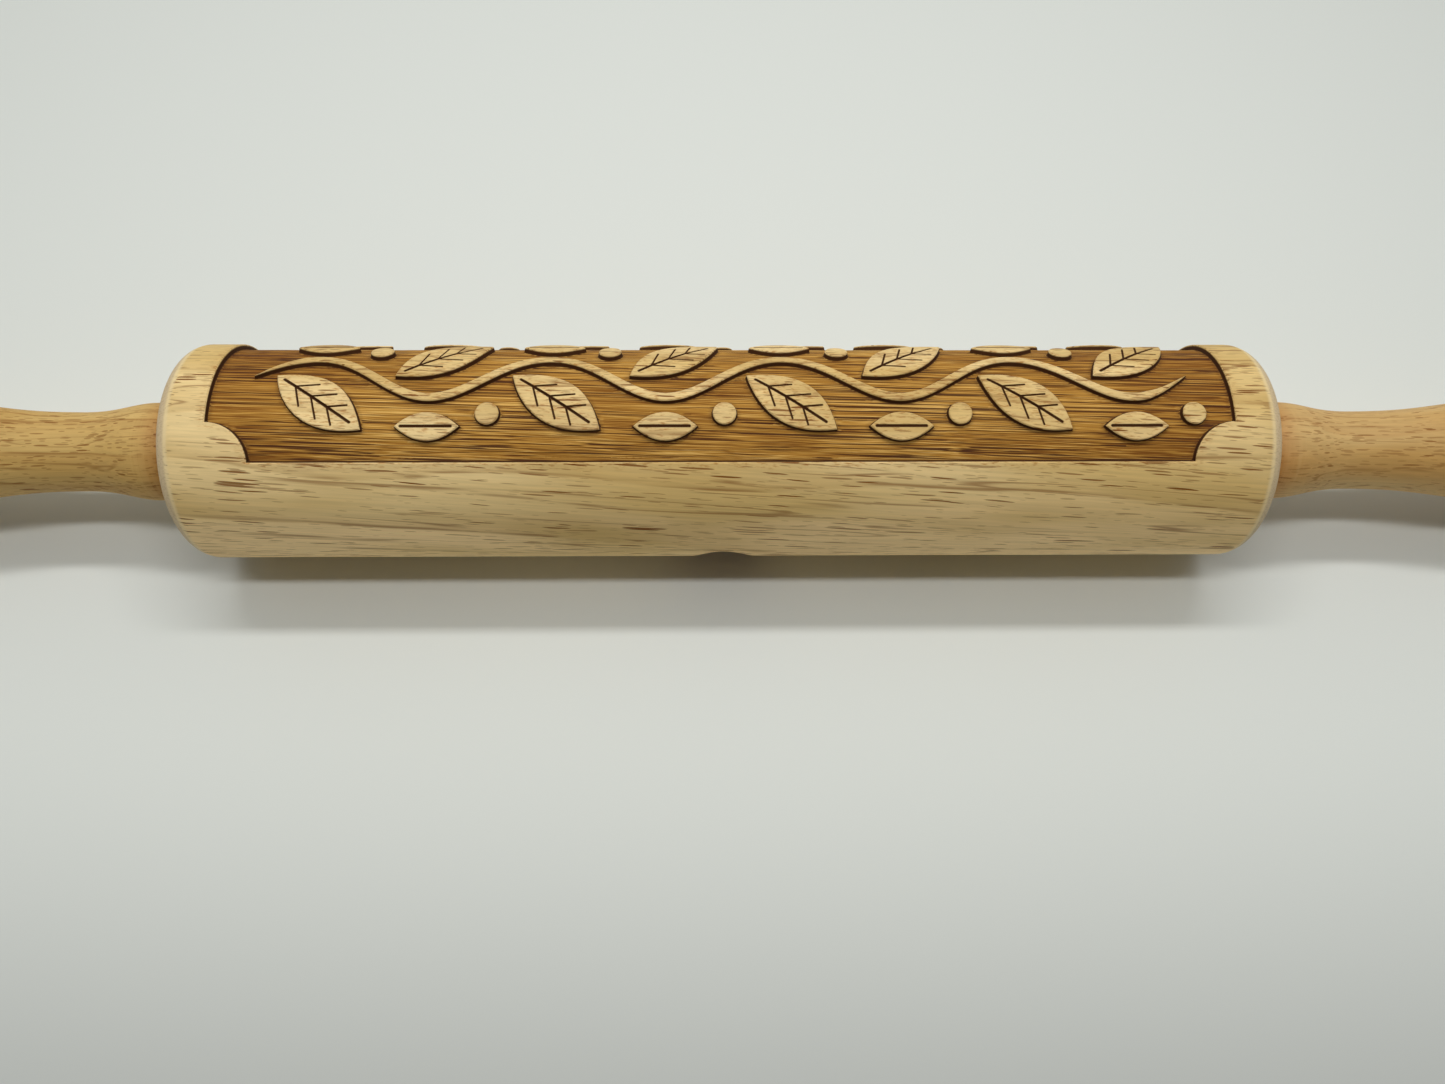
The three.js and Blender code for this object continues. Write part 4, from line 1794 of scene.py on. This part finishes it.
@dataclass
class HandleEnd:
    """Everything on one end of the axle: bush, thrust washer, handle, nut washer, nut and end plug.

    The pieces are built for the right-hand end, and those of the left-hand end get half a turn about Z.
    circle_control is the share of a quarter oval's side at which a cubic's control point makes it round, and
    far_from_face stands for any place well clear of the handle's face.
    """

    side: Side
    wood: TurnedWood
    bush_bore: float = 4.1
    bush_lead_in: float = 1.0
    tenon_hole: float = 3.15
    face_radius: float = 8.5
    collar_radius: float = 11.7
    collar_from_face: float = 7.0
    waist_radius: float = 9.45
    waist_from_face: float = 25.0
    belly_from_end: float = 21.0
    end_rim: float = 1.8
    pocket_clearance: float = 0.1
    pocket_gap: float = 0.2
    plug_crown: float = 0.6
    crown_steps: int = 16
    nut_face_setback: float = 0.3
    nut_thread_clearance: float = 0.08
    nut_rings: int = 25
    ease: float = 0.3
    circle_control: float = 0.5523
    far_from_face: float = 50.0

    def __post_init__(self) -> None:
        """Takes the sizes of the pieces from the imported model's right-hand end."""
        self.bush = Reach.of("right_bush", SHAFT_FACETS)
        self.thrust_washer = Reach.of("right_thrust_washer", SHAFT_FACETS)
        self.handle = Reach.of("right_handle", HANDLE_FACETS)
        self.nut_washer = Reach.of("right_nut_washer", SHAFT_FACETS)
        self.nut = Reach.of("right_nut")
        self.plug = Reach.of("right_end_plug", SHAFT_FACETS)

    def washer_surface(self, reach: Reach) -> Surface:
        """Turns a flat washer with broken edges.

        Args:
            reach: The washer's place and radius.

        Returns:
            The surface.
        """
        start, end, hole, rim = reach.start, reach.end, self.tenon_hole, reach.radius
        corners = np.array([(start, hole), (start, rim), (end, rim), (end, hole)])
        return lathe(eased(corners, self.ease), SHAFT_TURN, True)

    def bush_surface(self) -> Surface:
        """Turns the bush: a sleeve with a lead-in, and a flange let into the barrel's end.

        Returns:
            The surface.
        """
        start, face, sleeve = self.bush.start, self.bush.end, Barrel.bush_sleeve
        flange = face - Barrel.bush_flange_thickness
        corners = np.array([
            (start, self.bush_bore),
            (start, sleeve - self.bush_lead_in),
            (start + self.bush_lead_in, sleeve),
            (flange, sleeve),
            (flange, self.bush.radius),
            (face, self.bush.radius),
            (face, self.bush_bore),
        ])
        return lathe(eased(corners, self.ease), SHAFT_TURN, True)

    def handle_surface(self) -> Surface:
        """Turns the handle.

        From its face a quarter of an oval rises to the collar, two S-curves lead over the waist to the belly,
        and another quarter of an oval closes on the end rim. The pocket and the tenon's hole follow inside.

        Returns:
            The surface, with its distance from the face and how far it faces along X as attributes.
        """
        start, end, belly_radius = self.handle.start, self.handle.end, self.handle.radius
        pocket = self.plug.radius + self.pocket_clearance
        rim, control = pocket + self.end_rim, self.circle_control
        collar, waist = start + self.collar_from_face, start + self.waist_from_face
        belly = end - self.belly_from_end
        to_waist, to_belly = waist - collar, belly - waist
        pocket_floor = self.nut_washer.start - self.pocket_gap
        outline = [
            (
                (start, self.face_radius),
                (start, self.face_radius + control * (self.collar_radius - self.face_radius)),
                (collar - control * self.collar_from_face, self.collar_radius),
                (collar, self.collar_radius),
            ),
            (
                (collar, self.collar_radius),
                (collar + to_waist / 3, self.collar_radius),
                (waist - to_waist / 2, self.waist_radius),
                (waist, self.waist_radius),
            ),
            (
                (waist, self.waist_radius),
                (waist + to_belly / 2, self.waist_radius),
                (belly - to_belly / 2, belly_radius),
                (belly, belly_radius),
            ),
            (
                (belly, belly_radius),
                (belly + control * self.belly_from_end, belly_radius),
                (end, rim + control * (belly_radius - rim)),
                (end, rim),
            ),
        ]
        inner = np.array([
            (end, rim),
            (end, pocket + self.ease),
            (end - self.ease, pocket),
            (pocket_floor, pocket),
            (pocket_floor, self.tenon_hole),
            (start, self.tenon_hole),
        ])
        profile = np.concatenate([*(cubic(*curve, CURVE_STEPS) for curve in outline), inner])
        slope = np.gradient(profile, axis=0)
        facing = np.abs(slope[:, 1]) / np.linalg.norm(slope, axis=1)
        return lathe(profile, HANDLE_TURN, True, end=facing**2, inward=profile[:, 0] - start)

    def nut_surface(self) -> Surface:
        """Cuts the nut.

        Its side is a hexagon, flat / cos((angle mod 60) - 30 degrees), held within a cone of 30 degrees at
        each face. Its hole has the axle's thread with a clearance.

        Returns:
            The surface.
        """
        start, end, corner = self.nut.start, self.nut.end, self.nut.radius
        angles = full_turn(2 * SHAFT_TURN)
        flat = corner * math.cos(math.pi / 6)
        hexagon = flat / np.cos(angles % (np.pi / 3) - np.pi / 6)
        face = flat - self.nut_face_setback
        outer = np.linspace(end, start, self.nut_rings)[:, None]
        cone = face + np.minimum(outer - start, end - outer) / math.tan(math.pi / 6)
        thread = Thread(Axle.tenon_radius)
        rows = round((end - start) / thread.pitch * thread.steps_per_pitch)
        inner = np.linspace(start, end, rows)[:, None]
        hole = thread.at(inner, angles) + self.nut_thread_clearance
        along = np.concatenate([outer, inner])
        return turned(along, np.concatenate([np.minimum(hexagon, cone), hole]), angles, True)

    def plug_surface(self) -> Surface:
        """Turns the plug: a short dowel whose face is crowned by a quarter of a flat oval.

        It is clear of what the handle's wood shows near its face, so that distance is far all over.

        Returns:
            The surface, with the same attributes as the handle's.
        """
        back, face, radius = self.plug.start, self.plug.end, self.plug.radius
        turn = np.linspace(0, np.pi / 2, self.crown_steps)
        crown = np.stack([face - self.plug_crown * (1 - np.sin(turn)), radius * np.cos(turn)], axis=-1)
        foot = np.array([(back, 0.0), (back, radius - self.ease), (back + self.ease, radius)])
        profile = np.concatenate([foot, crown])
        facing = np.concatenate([[1.0, 1.0, 0.0], np.sin(turn)])
        inward = np.full(len(profile), self.far_from_face)
        return lathe(profile, SHAFT_TURN, False, end=facing, inward=inward)

    def dress(self, groups: SharedGroups, shared: dict[str, Material]) -> None:
        """Makes the pieces of this end with their finishes.

        Args:
            groups: The shared node groups.
            shared: The finishes that both ends use, by slot.
        """
        handle_wood = self.wood.material(groups)
        thrust = self.washer_surface(self.thrust_washer)
        nut_washer = self.washer_surface(self.nut_washer)
        rows = [
            ("bush", "moulded", self.bush_surface(), "bush_nylon", ROLLER),
            ("thrust_washer", "pressed", thrust, "washer_steel", AXLE_BODY),
            ("handle", "turned", self.handle_surface(), "handle_wood", AXLE_BODY),
            ("nut_washer", "pressed", nut_washer, "washer_steel", AXLE_BODY),
            ("nut", "threaded", self.nut_surface(), "nut_steel", AXLE_BODY),
            ("end_plug", "turned", self.plug_surface(), "plug_wood", AXLE_BODY),
        ]
        for piece, way, surface, slot, body in rows:
            node = self.side.node(piece)
            material = shared.get(slot, handle_wood)
            surface.closed().at(self.side).piece(f"{node}_{way}", material, body, slot, node)


# The studio


@dataclass(frozen=True)
class StripLight:
    """A long soft lamp over the pin, parallel to it, and the share of the floor's light that it gives.

    Its lean is in degrees, and its other sizes are in metres.
    """

    name: str
    lean: float
    share: float
    distance: float = 0.65
    length: float = 0.55
    width: float = 0.045

    def power(self) -> float:
        """Works out the lamp's power.

        A point at the distance h under the middle of a narrow strip of the length a gets the light
        P / (pi a) times the integral of h^2 / (h^2 + x^2)^2 along the strip, and a white floor at a plain
        level takes pi.

        Returns:
            The power in watts.
        """
        half, height = self.length / 2, self.distance
        integral = half / (height**2 + half**2) + math.atan(half / height) / height
        return self.share * math.pi * math.pi * self.length / integral

    def build(self) -> None:
        """Hangs the lamp. It leans from straight above towards the back by its angle."""
        lamp = bpy.data.lights.new(self.name, "AREA")
        lamp.shape = "RECTANGLE"
        lamp.size, lamp.size_y = self.length, self.width
        lamp.energy = self.power()
        hung = bpy.data.objects.new(self.name, lamp)
        lean = math.radians(self.lean)
        hung.location = (0.0, self.distance * math.sin(lean), self.distance * math.cos(lean))
        hung.rotation_euler = (-lean, 0.0, 0.0)
        bpy.context.scene.collection.objects.link(hung)


@dataclass(frozen=True)
class View:
    """The camera: a wide lens close over the pin, aimed a little below it.

    distance and elevation give the camera's place from the axle, slide its place along the axle, and tilt,
    pan and roll how far its aim leaves the axle, in degrees. Nothing closer than nearest is seen.
    """

    lens: float = 26.0
    sensor: float = 36.0
    distance: float = 254.2
    elevation: float = 62.0
    slide: float = -4.67
    tilt: float = 4.98
    pan: float = 1.04
    roll: float = 0.08
    nearest: float = 10.0

    def build(self) -> None:
        """Places the camera and makes it the scene's own."""
        elevation = math.radians(self.elevation)
        aim = Matrix.Rotation(math.pi / 2 - elevation, 4, "X")
        pan = Matrix.Rotation(math.radians(-self.pan), 4, "Y")
        tilt = Matrix.Rotation(math.radians(-self.tilt), 4, "X")
        roll = Matrix.Rotation(math.radians(-self.roll), 4, "Z")
        place = self.distance * Vector((0.0, -math.cos(elevation), math.sin(elevation)))
        place.x = self.slide
        lens = bpy.data.cameras.new("camera")
        lens.lens, lens.sensor_width, lens.sensor_fit = self.lens, self.sensor, "HORIZONTAL"
        lens.clip_start = self.nearest * MM
        camera = bpy.data.objects.new("camera", lens)
        camera.matrix_world = Matrix.Translation(place * MM) @ aim @ pan @ tilt @ roll
        bpy.context.scene.collection.objects.link(camera)
        bpy.context.scene.camera = camera


@dataclass(frozen=True)
class Studio:
    """The pale floor, the lamps, the light from all round and the camera.

    The light from all round comes from above and from the back, with a low glow from the cook's side. The
    floor's paper carries a painted shade towards the cook: it deepens between the places of
    painted_shade_fade along Y and pales again between those of painted_shade_return. Outside the floor_near
    rectangle, which is floor_back behind the pin, the floor goes over into the backdrop, as a paper that is
    hung in a sweep does.
    The floor reaches floor_reach metres each way.
    """

    floor_colour: Colour = (227, 230, 225)
    # A painted shade on the floor towards the cook: its colour, and where it deepens and pales again
    floor_painted_shade: Colour = (172, 174, 171)
    painted_shade_fade: tuple[float, float] = (-55.0, -200.0)
    painted_shade_return: tuple[float, float] = (-145.0, -260.0)
    floor_roughness: float = 0.7
    floor_specular: float = 0.2
    floor_reach: float = 3.0
    floor_back: float = 22.0
    floor_near: tuple[float, float, float] = (255.0, 180.0, 0.0)
    floor_sweep: float = 320.0
    light_from_back: float = 0.66
    light_rise: float = 0.7
    light_span: tuple[float, float] = (0.1, 1.0)
    glow_from_front: float = 0.3
    glow_rise: float = 0.6
    lamps: tuple[StripLight, ...] = (
        StripLight("front_strip", lean=-6.0, share=0.31),
        StripLight("back_strip", lean=19.0, share=0.39),
    )
    view: View = View()

    @staticmethod
    def seen(graph: Graph) -> Socket:
        """Gives 1 for what the camera sees, straight, in a mirror or through glass, and 0 for light.

        Args:
            graph: The graph of the floor or the backdrop.

        Returns:
            The value.
        """
        path = graph.add("LightPath").outputs
        direct = graph.math("MAXIMUM", path["Is Camera Ray"], path["Is Glossy Ray"])
        return graph.math("MAXIMUM", direct, path["Is Transmission Ray"])

    def floor(self) -> None:
        """Lays the floor's paper under the barrel.

        How far a place is outside the near rectangle is the length of max(|x| - width, |y| - depth, 0).
        """
        level = -Reach.of("barrel", BARREL_FACETS).radius * MM
        reach = self.floor_reach
        ways = ((-1, -1), (1, -1), (1, 1), (-1, 1))
        mesh = bpy.data.meshes.new("floor")
        mesh.from_pydata([(reach * x, reach * y, level) for x, y in ways], [], [(0, 1, 2, 3)])
        material, graph, shader = new_material("floor_paper")
        place = graph.object_millimetres()
        across = graph.axis(place, "Y")
        # Painted shade: the floor's colour deepens towards the cook and pales again further out
        fade = graph.span(across, *self.painted_shade_return, 1.0, 0.0)
        fade = graph.math("MULTIPLY", fade, graph.span(across, *self.painted_shade_fade))
        colour = graph.mix(fade, linear(self.floor_colour), linear(self.floor_painted_shade))
        graph.feed(shader, {
            "Base Color": colour,
            "Roughness": self.floor_roughness,
            "Specular IOR Level": self.floor_specular,
        })
        outside = graph.placed(place, scale=(1.0, 1.0, 0.0), location=(0.0, -self.floor_back, 0.0))
        outside = graph.vectors("SUBTRACT", graph.vectors("ABSOLUTE", outside), self.floor_near)
        away = graph.length(graph.vectors("MAXIMUM", outside, ZERO))
        share = graph.math("MULTIPLY", self.seen(graph), graph.span(away, 0.0, self.floor_sweep))
        backdrop = graph.add("Emission", {"Color": linear(self.floor_colour)})
        sweep = graph.add("MixShader", {0: share, 1: shader.outputs[0], 2: backdrop.outputs[0]})
        graph.feed(material.node_tree.nodes["Material Output"], {"Surface": sweep.outputs[0]})
        mesh.materials.append(material)
        floor = bpy.data.objects.new("floor", mesh)
        bpy.context.scene.collection.objects.link(floor)

    def surroundings(self) -> None:
        """Lights the pin from all round, and shows the camera and mirrors a pale backdrop.

        The light grows with y + light_rise z of the way that it comes from, and the glow with the opposite of
        y + glow_rise z.
        """
        world = bpy.data.worlds.new("studio")
        world.use_nodes = True
        bpy.context.scene.world = world
        graph = Graph(world.node_tree)
        way = graph.add("SeparateXYZ", {0: graph.add("TexCoord").outputs["Generated"]}).outputs
        back = graph.math("MULTIPLY_ADD", way["Z"], self.light_rise, way["Y"])
        front = graph.math("MULTIPLY_ADD", way["Z"], self.glow_rise, way["Y"])
        light = graph.span(back, *self.light_span, 0.0, self.light_from_back)
        glow = graph.span(front, 0.0, -1.0, 0.0, self.glow_from_front)
        strength = graph.math("MAXIMUM", graph.math("ADD", light, glow), self.seen(graph))
        backdrop = {"Color": linear(self.floor_colour), "Strength": strength}
        graph.feed(world.node_tree.nodes["Background"], backdrop)

    def build(self) -> None:
        """Sets the whole studio up."""
        bpy.context.scene.view_settings.view_transform = "Standard"
        self.floor()
        self.surroundings()
        for lamp in self.lamps:
            lamp.build()
        self.view.build()


def main() -> None:
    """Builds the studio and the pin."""
    logging.basicConfig(level=logging.INFO, format="%(name)s: %(message)s")
    groups = SharedGroups()
    Studio().build()
    Barrel().dress(groups)
    Axle().dress(groups)
    shared = {
        "bush_nylon": BUSH_NYLON.material(groups),
        "washer_steel": WASHER_STEEL.material(groups),
        "nut_steel": NUT_STEEL.material(groups),
        "plug_wood": PLUG_WOOD.material(groups),
    }
    for side, wood in ((Side.LEFT, LEFT_HANDLE_WOOD), (Side.RIGHT, RIGHT_HANDLE_WOOD)):
        HandleEnd(side, wood).dress(groups, shared)


if __name__ == "__main__":
    main()
